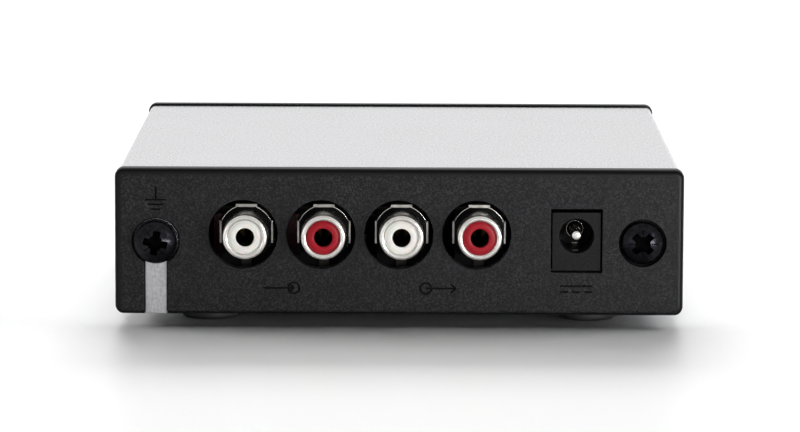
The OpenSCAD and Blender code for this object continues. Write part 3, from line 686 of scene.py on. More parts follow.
class Workpiece:
    """A mesh in the making, in millimetres. What is round turns about the Y axis."""

    def __init__(self) -> None:
        """Starts with an empty mesh."""
        self.bm = bmesh.new()

    @classmethod
    def turned(cls, profile: Sequence[Span], closed: bool = True, steps: int = 64) -> Workpiece:
        """Turns a profile.

        Args:
            profile: Points of radius and depth along Y.
            closed: Whether the profile is a loop. It is not where it starts and ends on the axis.
            steps: Facets of a full turn.

        Returns:
            The workpiece.
        """
        piece = cls()
        verts, edges = piece._chained([(r, y, 0) for r, y in profile], closed)
        return piece._swept([*verts, *edges], tau, steps, use_merge=True, use_duplicate=False)

    @classmethod
    def tube(cls, inner: float, outer: float, front: float, back: float, steps: int = 64) -> Workpiece:
        """Turns a tube between two radii and two depths."""
        return cls.turned([(inner, front), (outer, front), (outer, back), (inner, back)], steps=steps)

    @classmethod
    def rod(cls, radius: float, front: float, back: float, steps: int = 32) -> Workpiece:
        """Turns a rod between two depths."""
        return cls.turned([(0, front), (radius, front), (radius, back), (0, back)], closed=False, steps=steps)

    @classmethod
    def sector(cls, corners: Sequence[Span], start: float, sweep: float, steps: int = 12) -> Workpiece:
        """Sweeps a closed face round part of a turn.

        Args:
            corners: Corners of radius and depth along Y.
            start: Where the sector starts, in degrees.
            sweep: How far it goes, in degrees.
            steps: Facets along the sweep.

        Returns:
            The workpiece.
        """
        piece = cls()
        face = piece.bm.faces.new([piece.bm.verts.new((r, y, 0)) for r, y in corners])
        geom = [face, *face.edges, *face.verts]
        return piece._swept(geom, radians(sweep), steps, use_merge=False, use_duplicate=True).spun(start)

    @classmethod
    def helix(cls, profile: Sequence[Span], pitch: float, turns: int, steps: int = 24) -> Workpiece:
        """Winds an open profile along Y as a right-handed thread.

        Args:
            profile: Points of radius and depth along Y, one pitch long.
            pitch: Advance of one turn.
            turns: Number of turns.
            steps: Facets of one turn.

        Returns:
            The workpiece.
        """
        piece = cls()
        verts, edges = piece._chained([(r, y, 0) for r, y in profile])
        advance = pitch / steps
        return piece._swept(
            [*verts, *edges], tau * turns, steps * turns, advance, use_merge=False, use_duplicate=False
        )

    @classmethod
    def block(cls, low: Sequence[float], high: Sequence[float]) -> Workpiece:
        """Makes a box between two corners.

        Args:
            low: The lowest corner.
            high: The highest corner.

        Returns:
            The workpiece.
        """
        piece = cls()
        bmesh.ops.create_cube(piece.bm, size=1)
        bmesh.ops.scale(piece.bm, vec=[b - a for a, b in zip(low, high)], verts=piece.bm.verts)
        return piece.moved(*((a + b) / 2 for a, b in zip(low, high)))

    @classmethod
    def strip(
        cls, path: Sequence[Triple], across: Triple, inner: Triple, thickness: float, bend: float = 0
    ) -> Workpiece:
        """Folds a strip of sheet along a path.

        Args:
            path: The corners of the sheet's outer face, from end to end, at one edge of the strip.
            across: The way from that edge of the strip to the other.
            inner: The way from the outer face into the sheet, at the path's start.
            thickness: The sheet's thickness.
            bend: Radius of the folds.

        Returns:
            The workpiece.
        """
        piece = cls()
        bm = piece.bm
        edges = piece._chained(path)[1]
        made = bmesh.ops.extrude_edge_only(bm, edges=edges)["geom"]
        bmesh.ops.translate(bm, vec=across, verts=[v for v in made if isinstance(v, bmesh.types.BMVert)])
        piece.rounded(lambda e: len(e.link_faces) == 2, bend, 5, clamp=False)
        bmesh.ops.recalc_face_normals(bm, faces=bm.faces)
        start = Vector(path[0])
        first = min(bm.faces, key=lambda f: (f.calc_center_median() - start).length)
        if first.normal.dot(Vector(inner)) > 0:
            bmesh.ops.reverse_faces(bm, faces=bm.faces)
        bmesh.ops.solidify(bm, geom=list(bm.faces), thickness=thickness)
        return piece.mended()

    @classmethod
    def of_node(cls, name: str, weld: float = 0.002, flat: float = 0.6) -> Workpiece:
        """Copies a CAD node, with its loose triangles joined and its flat faces made whole.

        Args:
            name: The node's name.
            weld: Points nearer than this are one.
            flat: Faces that turn less than this many degrees are one.

        Returns:
            The workpiece.
        """
        piece = cls()
        bm = piece.bm
        bm.from_mesh(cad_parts[name].data)
        bmesh.ops.scale(bm, vec=(1 / MM,) * 3, verts=bm.verts)
        bmesh.ops.remove_doubles(bm, verts=bm.verts, dist=weld)
        bmesh.ops.dissolve_limit(bm, angle_limit=radians(flat), verts=bm.verts, edges=bm.edges)
        return piece

    def _chained(
        self, points: Sequence[Triple], closed: bool = False
    ) -> tuple[list[bmesh.types.BMVert], list[Edge]]:
        """Adds points, with an edge from each to the next.

        Args:
            points: Where the points are.
            closed: Whether the last point is joined to the first.

        Returns:
            The points and the edges.
        """
        verts = [self.bm.verts.new(point) for point in points]
        ends = verts[1:] + verts[:1] if closed else verts[1:]
        return verts, [self.bm.edges.new(pair) for pair in zip(verts, ends)]

    def _swept(self, geom: list, angle: float, steps: int, advance: float = 0.0, **ends: bool) -> Workpiece:
        """Spins geometry about the Y axis.

        Args:
            geom: The points, edges and faces that are spun.
            angle: How far they go, in radians.
            steps: Facets on the way.
            advance: Way along Y at each facet.
            **ends: Whether the ends merge, and whether the geometry stays as the first end.

        Returns:
            The workpiece.
        """
        way = {"axis": (0, 1, 0), "cent": (0, 0, 0), "dvec": (0, advance, 0), "angle": angle, "steps": steps}
        bmesh.ops.spin(self.bm, geom=geom, **way, **ends)
        return self.mended()

    def mended(self, weld: float = 0.0001) -> Workpiece:
        """Merges double points and turns the faces outwards.

        Args:
            weld: Points nearer than this are one.

        Returns:
            The workpiece.
        """
        bmesh.ops.remove_doubles(self.bm, verts=self.bm.verts, dist=weld)
        bmesh.ops.recalc_face_normals(self.bm, faces=self.bm.faces)
        return self

    def rounded(
        self, chosen: Callable[[Edge], bool], offset: float, segments: int = 3, clamp: bool = True
    ) -> Workpiece:
        """Rounds the edges that a test picks.

        Args:
            chosen: Tells whether an edge is rounded.
            offset: Width of the rounding.
            segments: Facets across the rounding.
            clamp: Whether the width gives way where edges are close.

        Returns:
            The workpiece.
        """
        edges = [e for e in self.bm.edges if chosen(e)]
        if edges:
            bmesh.ops.bevel(
                self.bm,
                geom=edges,
                offset=offset,
                offset_type="OFFSET",
                segments=segments,
                profile=0.5,
                affect="EDGES",
                clamp_overlap=clamp,
                material=-1,
            )
        return self

    def ring_rounded(
        self, radius: float, depth: float, offset: float, segments: int = 4, reach: float = 0.001
    ) -> Workpiece:
        """Rounds the edge that runs round the Y axis at a radius and a depth.

        Args:
            radius: The edge's radius.
            depth: Its depth along Y.
            offset: Width of the rounding.
            segments: Facets across the rounding.
            reach: How far off a point of the edge may be.

        Returns:
            The workpiece.
        """

        def on_ring(edge: Edge) -> bool:
            """Whether an edge is part of the ring."""
            spots = [(hypot(v.co.x, v.co.z), v.co.y) for v in edge.verts]
            return all(abs(r - radius) < reach and abs(y - depth) < reach for r, y in spots)

        return self.rounded(on_ring, offset, segments)

    def crisp_rounded(self, offset: float, segments: int = 2, past: float = 40) -> Workpiece:
        """Rounds every edge that is sharper than an angle in degrees."""
        return self.rounded(lambda edge: is_sharp(edge, past), offset, segments)

    def painted(self, chosen: Callable[[Face], bool]) -> Workpiece:
        """Gives the faces that a test picks to the second finish.

        Args:
            chosen: Tells whether a face is picked.

        Returns:
            The workpiece.
        """
        for face in self.bm.faces:
            if chosen(face):
                face.material_index = 1
        return self

    def moved(self, x: float = 0, y: float = 0, z: float = 0) -> Workpiece:
        """Moves the workpiece."""
        bmesh.ops.translate(self.bm, vec=(x, y, z), verts=self.bm.verts)
        return self

    def spun(self, angle: float, axis: str = "Y") -> Workpiece:
        """Turns the workpiece about an axis through the origin.

        Args:
            angle: The turn in degrees.
            axis: The axis.

        Returns:
            The workpiece.
        """
        turn = Matrix.Rotation(radians(angle), 3, axis)
        bmesh.ops.rotate(self.bm, cent=(0, 0, 0), matrix=turn, verts=self.bm.verts)
        return self

    def pinched(self, below: float, factors: Triple) -> Workpiece:
        """Scales the points that lie deeper than a depth along Y."""
        bmesh.ops.scale(self.bm, vec=factors, verts=[v for v in self.bm.verts if v.co.y > below])
        return self

    def joined(self, *others: Workpiece) -> Workpiece:
        """Takes in the meshes of other workpieces.

        Args:
            *others: The other workpieces, which are used up.

        Returns:
            The workpiece.
        """
        for other in others:
            mesh = bpy.data.meshes.new("part")
            other.bm.to_mesh(mesh)
            self.bm.from_mesh(mesh)
            bpy.data.meshes.remove(mesh)
            other.bm.free()
        return self

    def cut(self, *tools: Workpiece) -> Workpiece:
        """Cuts the shapes of other workpieces out of this one.

        Args:
            *tools: The shapes to cut.

        Returns:
            The workpiece.
        """
        objects = [self._loose("blank"), *(tool._loose("cutter") for tool in tools)]
        for cutter in objects[1:]:
            step = objects[0].modifiers.new("cut", "BOOLEAN")
            step.operation, step.object, step.solver = "DIFFERENCE", cutter, "EXACT"
        bpy.context.view_layer.update()
        graph = bpy.context.evaluated_depsgraph_get()
        shaped = bpy.data.meshes.new_from_object(objects[0].evaluated_get(graph))
        self.bm.clear()
        self.bm.from_mesh(shaped)
        for mesh in [shaped, *(o.data for o in objects)]:
            bpy.data.meshes.remove(mesh)
        return self

    def _loose(self, name: str) -> bpy.types.Object:
        """Puts the mesh in an object of its own for a while.

        Args:
            name: The object's name.

        Returns:
            The object.
        """
        mesh = bpy.data.meshes.new(name)
        self.bm.to_mesh(mesh)
        made = bpy.data.objects.new(name, mesh)
        bpy.context.scene.collection.objects.link(made)
        return made

    def shown(
        self,
        name: str,
        finish: Finish,
        slot: Slot,
        nodes: Sequence[str] = (),
        body: Body = Body.CASE,
        crease: float = 33,
        second: Finish | None = None,
    ) -> bpy.types.Object:
        """Makes the piece's object, at the origin and in metres.

        Args:
            name: The piece's name.
            finish: Its finish.
            slot: The record's material slot. It is not used.
            nodes: The CAD nodes that it stands for.
            body: The body that it rides on.
            crease: The angle in degrees past which an edge stays sharp.
            second: The finish of the painted faces.

        Returns:
            The object.
        """
        bmesh.ops.scale(self.bm, vec=(MM,) * 3, verts=self.bm.verts)
        for face in self.bm.faces:
            face.smooth = True
        for edge in self.bm.edges:
            edge.smooth = len(edge.link_faces) == 2 and not is_sharp(edge, crease)
        mesh = bpy.data.meshes.new(name)
        self.bm.to_mesh(mesh)
        self.bm.free()
        for each in (finish, second or finish):
            mesh.materials.append(each.material())
        made = bpy.data.objects.new(name, mesh)
        bpy.context.scene.collection.objects.link(made)
        level = made.modifiers.new("even_shading", "WEIGHTED_NORMAL")
        level.keep_sharp = True
        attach(made, body.value)
        if nodes:
            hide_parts(*nodes)
        LOG.info("%s: %d faces, on %s", name, len(mesh.polygons), body.value)
        return made


# ---------------------------------------------------------------- sub-assemblies


@dataclass
class SubAssembly:
    """A group of pieces that is built and dressed together. Its sizes are in millimetres."""

    def build(self) -> None:
        """Builds the pieces."""
        raise NotImplementedError


@dataclass
class Sleeve(SubAssembly):
    """The extruded sleeve."""

    node: str = "sleeve"

    def build(self) -> None:
        """Builds the sleeve from its solid, with smooth corners."""
        Workpiece.of_node(self.node).shown("sleeve_extrusion", SLEEVE, Slot.SLEEVE, [self.node])


@dataclass
class EndCap(SubAssembly):
    """A moulded end cap, with the edges of its openings broken."""

    end: End = End.REAR
    break_edge: float = 0.14
    crease: float = 38.0
    sign_low: float = 6.0
    sign_high: float = 9.2
    sign_depth: float = 0.3
    earth_low: float = 21.4
    strap_reach: float = 3.0
    sink_r: float = 4.6
    sink_depth: float = 1.3
    shallowest: float = 0.2

    def build(self) -> None:
        """Builds the cap from its solid."""
        node = f"{self.end.value}_cap"
        rear = self.end is End.REAR
        face_y = Extent.of(node).low.y if rear else Extent.of(node).high.y
        screw = Extent.of("ground_thread").middle

        def is_broken(edge: Edge) -> bool:
            """Tells whether an edge is the rim of an opening, and not of an engraved sign.

            Args:
                edge: The edge.

            Returns:
                Whether it is.
            """
            middle = (edge.verts[0].co + edge.verts[1].co) / 2
            near_strap = abs(middle.x - screw.x) < self.strap_reach
            in_sign = self.sign_low < middle.z < self.sign_high and not near_strap
            in_earth_sign = near_strap and middle.z > self.earth_low
            return is_rim(edge, face_y) and not (rear and (in_sign or in_earth_sign))

        def in_painted_shade(face: Face) -> bool:
            """Tells whether a face belongs to an engraved sign or to a screw's sink, which take painted
            shade.

            Args:
                face: The face.

            Returns:
                Whether it does.
            """
            depth = max(abs(v.co.y - face_y) for v in face.verts)
            reach = max(hypot(abs(v.co.x) - abs(screw.x), v.co.z - screw.z) for v in face.verts)
            deepest = self.sink_depth if reach < self.sink_r else self.sign_depth
            return self.shallowest < depth < deepest

        piece = Workpiece.of_node(node).rounded(is_broken, self.break_edge, 2, clamp=False)
        # The signs and the sinks get the darker second finish: painted shade.
        piece.painted(in_painted_shade)
        piece.shown(f"{node}_moulding", ABS, Slot.ABS, [node], crease=self.crease, second=POLISHED_ABS_SHADE)


@dataclass
class PanHeadScrew:
    """A pan head screw with a cross recess and four marks between its arms.

    A narrower star lies between the arms, both taper to their foot, and a cone opens the middle. Depths are
    measured from the head's top, and the dark values tell which faces of the recess get the second finish,
    which is painted shade.
    """

    head_d: float = 7.8
    head_k: float = 2.8
    side: float = 1.1
    shoulder: float = 0.22
    seat_edge: float = 0.1
    arm: float = 4.85
    arm_w: float = 1.4
    arm_taper: float = 0.7
    depth: float = 2.2
    star: float = 3.0
    star_w: float = 0.6
    star_taper: float = 0.8
    star_depth: float = 1.2
    narrowing: float = 0.8
    cone_r: float = 1.15
    cone_foot_r: float = 0.75
    cone_tip: float = 0.4
    mark: float = 1.15
    mark_w: float = 0.16
    mark_depth: float = 0.12
    mark_proud: float = 0.1
    mark_out: float = 2.15
    clear: float = 0.05
    dark_from: float = 0.45
    dark_past: float = 0.2
    dark_below: float = 0.06

    def dome(self) -> float:
        """Radius of the head's dome."""
        rise = self.head_k - self.side
        return ((self.head_d / 2) ** 2 + rise**2) / (2 * rise)

    def blank(self, facets: int = 10) -> Workpiece:
        """Turns the head, with its underside at y = 0 and its top towards -Y.

        Args:
            facets: Facets of the dome's outline.

        Returns:
            The head without its recess.
        """
        radius, half = self.dome(), self.head_d / 2
        reach = atan2(half, radius - (self.head_k - self.side))
        angles = [reach * i / facets for i in range(facets)]
        arc = [(radius * sin(angle), radius - self.head_k - radius * cos(angle)) for angle in angles]
        head = Workpiece.turned([*arc, (half, -self.side), (half, 0), (0, 0)], closed=False, steps=72)
        return head.ring_rounded(half, -self.side, self.shoulder, 3).ring_rounded(half, 0, self.seat_edge, 2)

    def tools(self, turn: float) -> list[Workpiece]:
        """Shapes the cutters of the recess.

        Args:
            turn: Turn of the cross from upright, in degrees.

        Returns:
            The cutters.
        """
        top, foot = -self.head_k - self.clear, self.depth - self.head_k
        arms = (
            (0, self.arm, self.arm_w, self.depth, self.arm_taper),
            (45, self.star, self.star_w, self.star_depth, self.star_taper),
        )
        cutters = []
        for angle in (0, 90):
            for lead, length, width, depth, taper in arms:
                low, high = (-length / 2, top, -width / 2), (length / 2, depth - self.head_k, width / 2)
                wing = Workpiece.block(low, high).pinched(top + self.clear, (taper, 1, self.narrowing))
                cutters.append(wing.spun(angle + lead + turn))
        cone = [(0, top), (self.cone_r, top), (self.cone_foot_r, foot), (0, foot + self.cone_tip)]
        cutters.append(Workpiece.turned(cone, closed=False, steps=24))
        radius, out = self.dome(), self.mark_out
        drop = radius - sqrt(radius**2 - out**2)
        for quarter in range(4):
            low = (-self.mark / 2, -self.mark_proud, -self.mark_w / 2)
            mark = Workpiece.block(low, (self.mark / 2, self.mark_depth, self.mark_w / 2))
            mark.spun(degrees(atan2(out, radius - drop)), "Z").moved(x=out, y=drop - self.head_k)
            cutters.append(mark.spun(quarter * 90 + 45 + turn))
        return cutters

    def head(self, turn: float) -> Workpiece:
        """Makes the whole head.

        Args:
            turn: Turn of the cross from upright, in degrees.

        Returns:
            The head.
        """
        radius, reach = self.dome(), self.arm / 2 + self.dark_past

        def in_recess(face: Face) -> bool:
            """Tells whether a face lies below the dome, inside the recess.

            Args:
                face: The face.

            Returns:
                Whether it does.
            """
            spot = face.calc_center_median()
            out = hypot(spot.x, spot.z)
            surface = radius - self.head_k - sqrt(max(radius**2 - out**2, 0))
            return self.dark_from < out < reach and surface + self.dark_below < spot.y < -self.clear

        # The faces down in the recess get painted shade.
        return self.blank().cut(*self.tools(turn)).painted(in_recess)


@dataclass
class CapScrews(SubAssembly):
    """The three screws that hold the end caps."""

    screw: PanHeadScrew = field(default_factory=PanHeadScrew)
    length: float = 12.0
    shank_r: float = 2.0
    tip: float = 0.4
    proud: float = 0.1
    turn: float = 45.0

    def build(self) -> None:
        """Builds the screws, one at the rear and two at the front."""
        nodes = Extent.of("cap_screws")
        out, sink = nodes.high.x - self.screw.head_d / 2, self.screw.head_k - self.proud
        rear, front = nodes.low.y + sink, nodes.high.y - sink
        places = (("rear", out, rear, 0), ("front_right", out, front, 180), ("front_left", -out, front, 180))
        for name, x, seat, facing in places:
            shank = Workpiece.rod(self.shank_r, 0, self.length)
            shank.ring_rounded(self.shank_r, self.length, self.tip, 1)
            head = self.screw.head(self.turn).joined(shank).spun(facing, "Z").moved(x, seat, nodes.middle.z)
            head.shown(f"cap_screw_{name}", ZINC, Slot.STEEL, ["cap_screws"], second=RECESS_SHADE)


@dataclass
class GroundTerminal(SubAssembly):
    """The ground screw with its thread, washer and strap."""

    screw: PanHeadScrew = field(default_factory=PanHeadScrew)
    turn: float = 10.0
    pitch: float = 0.7
    core_r: float = 1.62
    ridge_root: float = 0.05
    crest: Span = (0.42, 0.58)
    washer_play: float = 0.25
    washer_edge: float = 0.2
    bore_edge: float = 0.1
    strap_edge: float = 0.1

    def build(self) -> None:
        """Builds the terminal from the strap outwards."""
        shank, plate = Extent.of("ground_thread"), Extent.of("ground_washer")
        x, z, r = shank.middle.x, shank.middle.z, shank.size.x / 2
        seat = Extent.of("ground_screw").high.y
        strap = Workpiece.of_node("ground_strap").crisp_rounded(self.strap_edge)
        strap.shown("ground_strap_strip", STRIP, Slot.STRIP, ["ground_strap"])
        outer, bore, thick = plate.size.x / 2, r + self.washer_play, plate.size.y
        washer = Workpiece.tube(bore, outer, 0, thick)
        washer.ring_rounded(outer, 0, self.washer_edge).ring_rounded(outer, thick, self.washer_edge)
        washer.ring_rounded(bore, 0, self.bore_edge, 2).moved(x, plate.low.y, z)
        washer.shown("ground_washer_plate", ZINC, Slot.STEEL, ["ground_washer"], Body.CLAMP)
        head = self.screw.head(self.turn).moved(x, seat, z)
        head.shown("ground_screw_head", ZINC, Slot.STEEL, ["ground_screw"], Body.SCREW, second=RECESS_SHADE)
        root, (start, end) = self.core_r - self.ridge_root, self.crest
        ridge = [(root, 0), (r, self.pitch * start), (r, self.pitch * end), (root, self.pitch)]
        turns = int(shank.size.y / self.pitch) - 1
        thread = Workpiece.helix(ridge, self.pitch, turns)
        core = Workpiece.rod(self.core_r, 0, shank.size.y).joined(thread).moved(x, shank.low.y, z)
        core.shown("ground_screw_thread", ZINC, Slot.STEEL, ["ground_thread"], Body.SCREW)


@dataclass
class PhonoJack(SubAssembly):
    """One phono jack: pressed shell, gasket, insulator, mouth, spring contact and body.

    Its pieces are made round the Y axis and then moved to the jack's axis. A name that ends in r is a radius,
    in w a width and in t a thickness.
    """

    name: str = "input_left"
    finish: Finish = WHITE
    slot: Slot = Slot.WHITE
    barrel_r: float = 4.15
    barrel_wall: float = 1.05
    rim: float = 0.5
    inner_rim: float = 0.42
    flange_t: float = 0.5
    flange_r: float = 5.02
    flange_set: float = 0.02
    flange_edge: float = 0.03
    fillet: float = 0.25
    gasket_r: float = 4.95
    gasket_t: float = 0.3
    gasket_play: float = 0.02
    gasket_edge: float = 0.18
    gasket_held: float = 0.1
    gasket_shift: Triple = (-0.04, 0.0, -0.07)
    seam: float = 2.4
    seam_w: float = 0.16
    seam_t: float = 0.06
    tab_t: float = 0.5
    tab_len: float = 4.5
    tab_bend: float = 0.12
    tab_edge: float = 0.06
    tab_proud: float = 0.03
    tab_root: float = 4.6
    top_tab_w: float = 4.0
    side_tab_h: float = 4.2
    leg_tab_w: float = 1.9
    leg_lean: float = 0.6
    leg_lap: float = 0.1
    shade_drop: float = 0.2
    groove_r: float = 2.8
    groove_w: float = 0.1
    groove_t: float = 0.22
    ring_step: float = 0.06
    mouth_r: float = 1.7
    mouth_edge: float = 0.14
    mouth_set: float = 0.16
    mouth_len: float = 1.6
    groove_edge: float = 0.08
    contact_r: float = 1.65
    contact_wall: float = 0.4
    contact_play: float = 0.02
    leaf_sweep: float = 82.0
    leg_w: float = 1.0
    body_edge: float = 0.2

    @property
    def axis(self) -> Vector:
        """The middle of the jack's insulator, on the jack's axis."""
        return self._extent("insulator").middle

    @property
    def flange_y(self) -> float:
        """Depth of the flange's face."""
        return self._extent("insulator").high.y - self.flange_set - self.flange_t

    def build(self) -> None:
        """Builds the jack in the place that its solids have."""
        self._barrel()
        self._tabs()
        self._gasket()
        self._insulator()
        self._contact()
        body = Workpiece.of_node(f"{self.name}_body").crisp_rounded(self.body_edge, past=60)
        body.shown(f"{self.name}_housing", DARK_POLYESTER, Slot.POLYESTER, [f"{self.name}_body"])

    def _extent(self, part: str) -> Extent:
        """The box round one of the jack's solids."""
        return Extent.of(f"{self.name}_{part}")

    def _place(
        self,
        piece: Workpiece,
        name: str,
        finish: Finish,
        slot: Slot,
        part: str = "",
        second: Finish | None = None,
    ) -> None:
        """Moves a piece to the jack's axis and shows it.

        Args:
            piece: The piece.
            name: Its name within the jack.
            finish: Its finish.
            slot: The record's material slot.
            part: The solid of the jack that it stands for, if any.
            second: The finish of the painted faces.
        """
        nodes = [f"{self.name}_{part}"] if part else []
        piece.moved(self.axis.x, 0, self.axis.z)
        piece.shown(f"{self.name}_{name}", finish, slot, nodes, second=second)

    def _barrel(self) -> None:
        """Turns the barrel with its seam and flange."""
        outer, inner = self.barrel_r, self.barrel_r - self.barrel_wall
        rim_y, flange_y, back = self._extent("shell").low.y, self.flange_y, self.flange_y + self.flange_t
        seam = rim_y + self.seam
        outline = [
            (inner, rim_y),
            (outer, rim_y),
            (outer, seam),
            (outer - self.seam_t, seam + self.seam_w / 2),
            (outer, seam + self.seam_w),
            (outer, flange_y),
            (self.flange_r, flange_y),
            (self.flange_r, back),
            (inner, back),
        ]
        barrel = Workpiece.turned(outline, steps=96)
        barrel.ring_rounded(outer, rim_y, self.rim, 6).ring_rounded(inner, rim_y, self.inner_rim, 5)
        barrel.ring_rounded(self.flange_r, flange_y, self.flange_edge, 2)
        barrel.ring_rounded(outer, flange_y, self.fillet, 3)
        self._place(barrel, "barrel", NICKEL, Slot.NICKEL, "shell")

    def _tabs(self) -> None:
        """Folds the tabs that hold the body, and the ground leg."""
        shell, inward = self._extent("shell"), (0, 1, 0)
        side, z = shell.size.x / 2, self.axis.z
        top, foot, board = shell.high.z - z, shell.low.z - z, self._extent("body").low.z - z
        face, back = self.flange_y - self.gasket_t - self.tab_proud, self.flange_y + self.tab_len
        root, fold = self.tab_root, (self.tab_t, self.tab_bend)
        half_top, half_side, half_leg = self.top_tab_w / 2, self.side_tab_h / 2, self.leg_tab_w / 2
        path = [(-half_top, face, root), (-half_top, face, top), (-half_top, back, top)]
        tabs = Workpiece.strip(path, (self.top_tab_w, 0, 0), inward, *fold)
        for way in (-1, 1):
            outline = [(root, face), (side, face), (side, back)]
            path = [(way * out, y, -half_side) for out, y in outline]
            tabs.joined(Workpiece.strip(path, (0, 0, self.side_tab_h), inward, *fold))
        knee = face + self.leg_lean
        path = [(-half_leg, face, -root), (-half_leg, knee, board + self.leg_lap)]
        tabs.joined(Workpiece.strip(path, (self.leg_tab_w, 0, 0), inward, self.tab_t))
        low = (-half_leg / 2, knee, foot)
        tabs.joined(Workpiece.block(low, (half_leg / 2, knee + self.tab_t, board + 2 * self.leg_lap)))
        # The faces below the side tabs, on the ground leg deep in the hole, get nickel darkened as painted
        # shade.
        shade_line = -half_side - self.shade_drop
        tabs.crisp_rounded(self.tab_edge, 1, past=60)
        tabs.painted(lambda face: face.calc_center_median().z < shade_line)
        self._place(tabs, "tabs", TIN, Slot.NICKEL, "shell", DARKENED_NICKEL)

    def _gasket(self) -> None:
        """Turns the black ring round the foot of the barrel, which lies on the flange a little off centre."""
        inner, outer = self.barrel_r + self.gasket_play, self.gasket_r
        face = self.flange_y - self.gasket_t
        ring = Workpiece.tube(inner, outer, face, self.flange_y).ring_rounded(outer, face, self.gasket_edge)
        loose = [v for v in ring.bm.verts if hypot(v.co.x, v.co.z) > inner + self.gasket_held]
        bmesh.ops.translate(ring.bm, vec=self.gasket_shift, verts=loose)
        self._place(ring, "gasket", GLOSSY_POLYESTER, Slot.POLYESTER, "shell")

    def _insulator(self) -> None:
        """Turns the coloured ring in the barrel and the black liner of its mouth."""
        extent = self._extent("insulator")
        front, back, outer = extent.low.y, extent.high.y, extent.size.x / 2
        wide = self.contact_r + self.contact_wall + self.contact_play
        groove, bottom = self.groove_r + self.groove_w, front + self.groove_t
        edge, inside = front + self.ring_step, front + self.mouth_len
        outline = [
            (self.mouth_r, front),
            (self.groove_r, front),
            (self.groove_r, bottom),
            (groove, bottom),
            (groove, edge),
            (outer, edge),
            (outer, back),
            (wide, back),
            (wide, inside),
            (self.mouth_r, inside),
        ]
        ring = Workpiece.turned(outline, steps=96).ring_rounded(self.mouth_r, front, self.mouth_edge, 3)
        ring.ring_rounded(self.groove_r, front, self.groove_edge, 2)
        self._place(ring, "ring", self.finish, self.slot, "insulator")
        liner = Workpiece.tube(self.contact_r, self.mouth_r, front + self.mouth_set, inside, 48)
        self._place(liner, "mouth", GLOSSY_POLYESTER, Slot.POLYESTER)

    def _contact(self) -> None:
        """Makes the spring contact of four leaves, with its end plate and leg."""
        extent = self._extent("contact")
        front, back, end = extent.low.y, extent.high.y, extent.high.y - self.contact_wall
        inner, outer, half_leg = self.contact_r, self.contact_r + self.contact_wall, self.leg_w / 2
        corners = [(inner, front), (outer, front), (outer, back), (inner, back)]
        start = (90 - self.leaf_sweep) / 2
        leaves = [Workpiece.sector(corners, 90 * k + start, self.leaf_sweep) for k in range(4)]
        leg = Workpiece.block((-half_leg, end, extent.low.z - self.axis.z), (half_leg, back, 0))
        contact = Workpiece.rod(outer, end, back).joined(*leaves, leg)
        self._place(contact, "spring", BRASS, Slot.BRASS, "contact")


@dataclass
class PowerInlet(SubAssembly):
    """The low voltage inlet: moulded body, centre pin and sprung leaf."""

    break_edge: float = 0.16
    crease: float = 38.0
    bore_depth: float = 10.0
    pin_r: float = 1.0
    tip: float = 0.55
    collar_r: float = 1.65
    collar_w: float = 0.2
    collar_t: float = 0.3
    collar_edge: float = 0.09
    bush_set: float = 0.1
    leg_w: float = 1.0
    leg_edge: float = 0.08
    leaf_w: float = 1.0
    leaf_t: float = 0.3
    leaf_curl: float = 0.1
    leaf_curl_len: float = 1.2
    leaf_bend: float = 0.5
    leaf_edge: float = 0.05

    def build(self) -> None:
        """Builds the inlet in the place that its solids have."""
        face_y = Extent.of("inlet_body").low.y
        body = Workpiece.of_node("inlet_body")
        body.rounded(lambda edge: is_rim(edge, face_y), self.break_edge, 2, clamp=False)
        body.shown("inlet_moulding", FILLED, Slot.POLYESTER, ["inlet_body"], crease=self.crease)
        self._pin(face_y + self.bore_depth)
        self._leaf()

    def _pin(self, floor: float) -> None:
        """Turns the centre pin, with the collar and the bush at its foot.

        Args:
            floor: Depth of the bore's floor.
        """
        x, extent = Extent.of("inlet_body").middle.x, Extent.of("inlet_pin")
        z, front, end = extent.high.z - self.collar_r, extent.low.y, extent.high.y
        inner, lip = self.collar_r - self.collar_w, floor - self.collar_t
        collar = Workpiece.tube(inner, self.collar_r, lip, floor, 48)
        for radius in (self.collar_r, inner):
            collar.ring_rounded(radius, lip, self.collar_edge, 3)
        bush = Workpiece.tube(self.pin_r, inner, lip + self.bush_set, floor).moved(x, 0, z)
        bush.shown("inlet_pin_bush", DARK_POLYESTER, Slot.POLYESTER)
        half = self.leg_w / 2
        leg = Workpiece.block((-half, end - half, extent.low.z - z), (half, end, 0))
        leg.crisp_rounded(self.leg_edge, 1)
        pin = Workpiece.rod(self.pin_r, front, end, 48).ring_rounded(self.pin_r, front, self.tip, 5)
        pin.joined(collar, leg).moved(x, 0, z).shown("inlet_centre_pin", NICKEL, Slot.NICKEL, ["inlet_pin"])

    def _leaf(self) -> None:
        """Folds the sprung leaf and turns the root that it swings on."""
        extent, half = Extent.of("inlet_leaf"), self.leaf_w / 2
        root_r, root_y = extent.size.z / 2, extent.high.y - extent.size.z / 2
        top, tip = extent.middle.z + self.leaf_t / 2, extent.low.y
        outline = [(tip, top - self.leaf_curl), (tip + self.leaf_curl_len, top), (root_y, top)]
        path = [(-half, y, z) for y, z in outline]
        leaf = Workpiece.strip(path, (self.leaf_w, 0, 0), (0, 0, -1), self.leaf_t, self.leaf_bend)
        root = Workpiece.rod(root_r, 0, self.leaf_w, 24).spun(90, "Z").moved(half, root_y, extent.middle.z)
        leaf.crisp_rounded(self.leaf_edge, 1).joined(root).moved(Extent.of("inlet_body").middle.x)
        # The leaf lies deep in the bore and wears nickel darkened as painted shade.
        leaf.shown("inlet_sprung_leaf", DARKENED_NICKEL, Slot.NICKEL, ["inlet_leaf"], Body.LEAF)


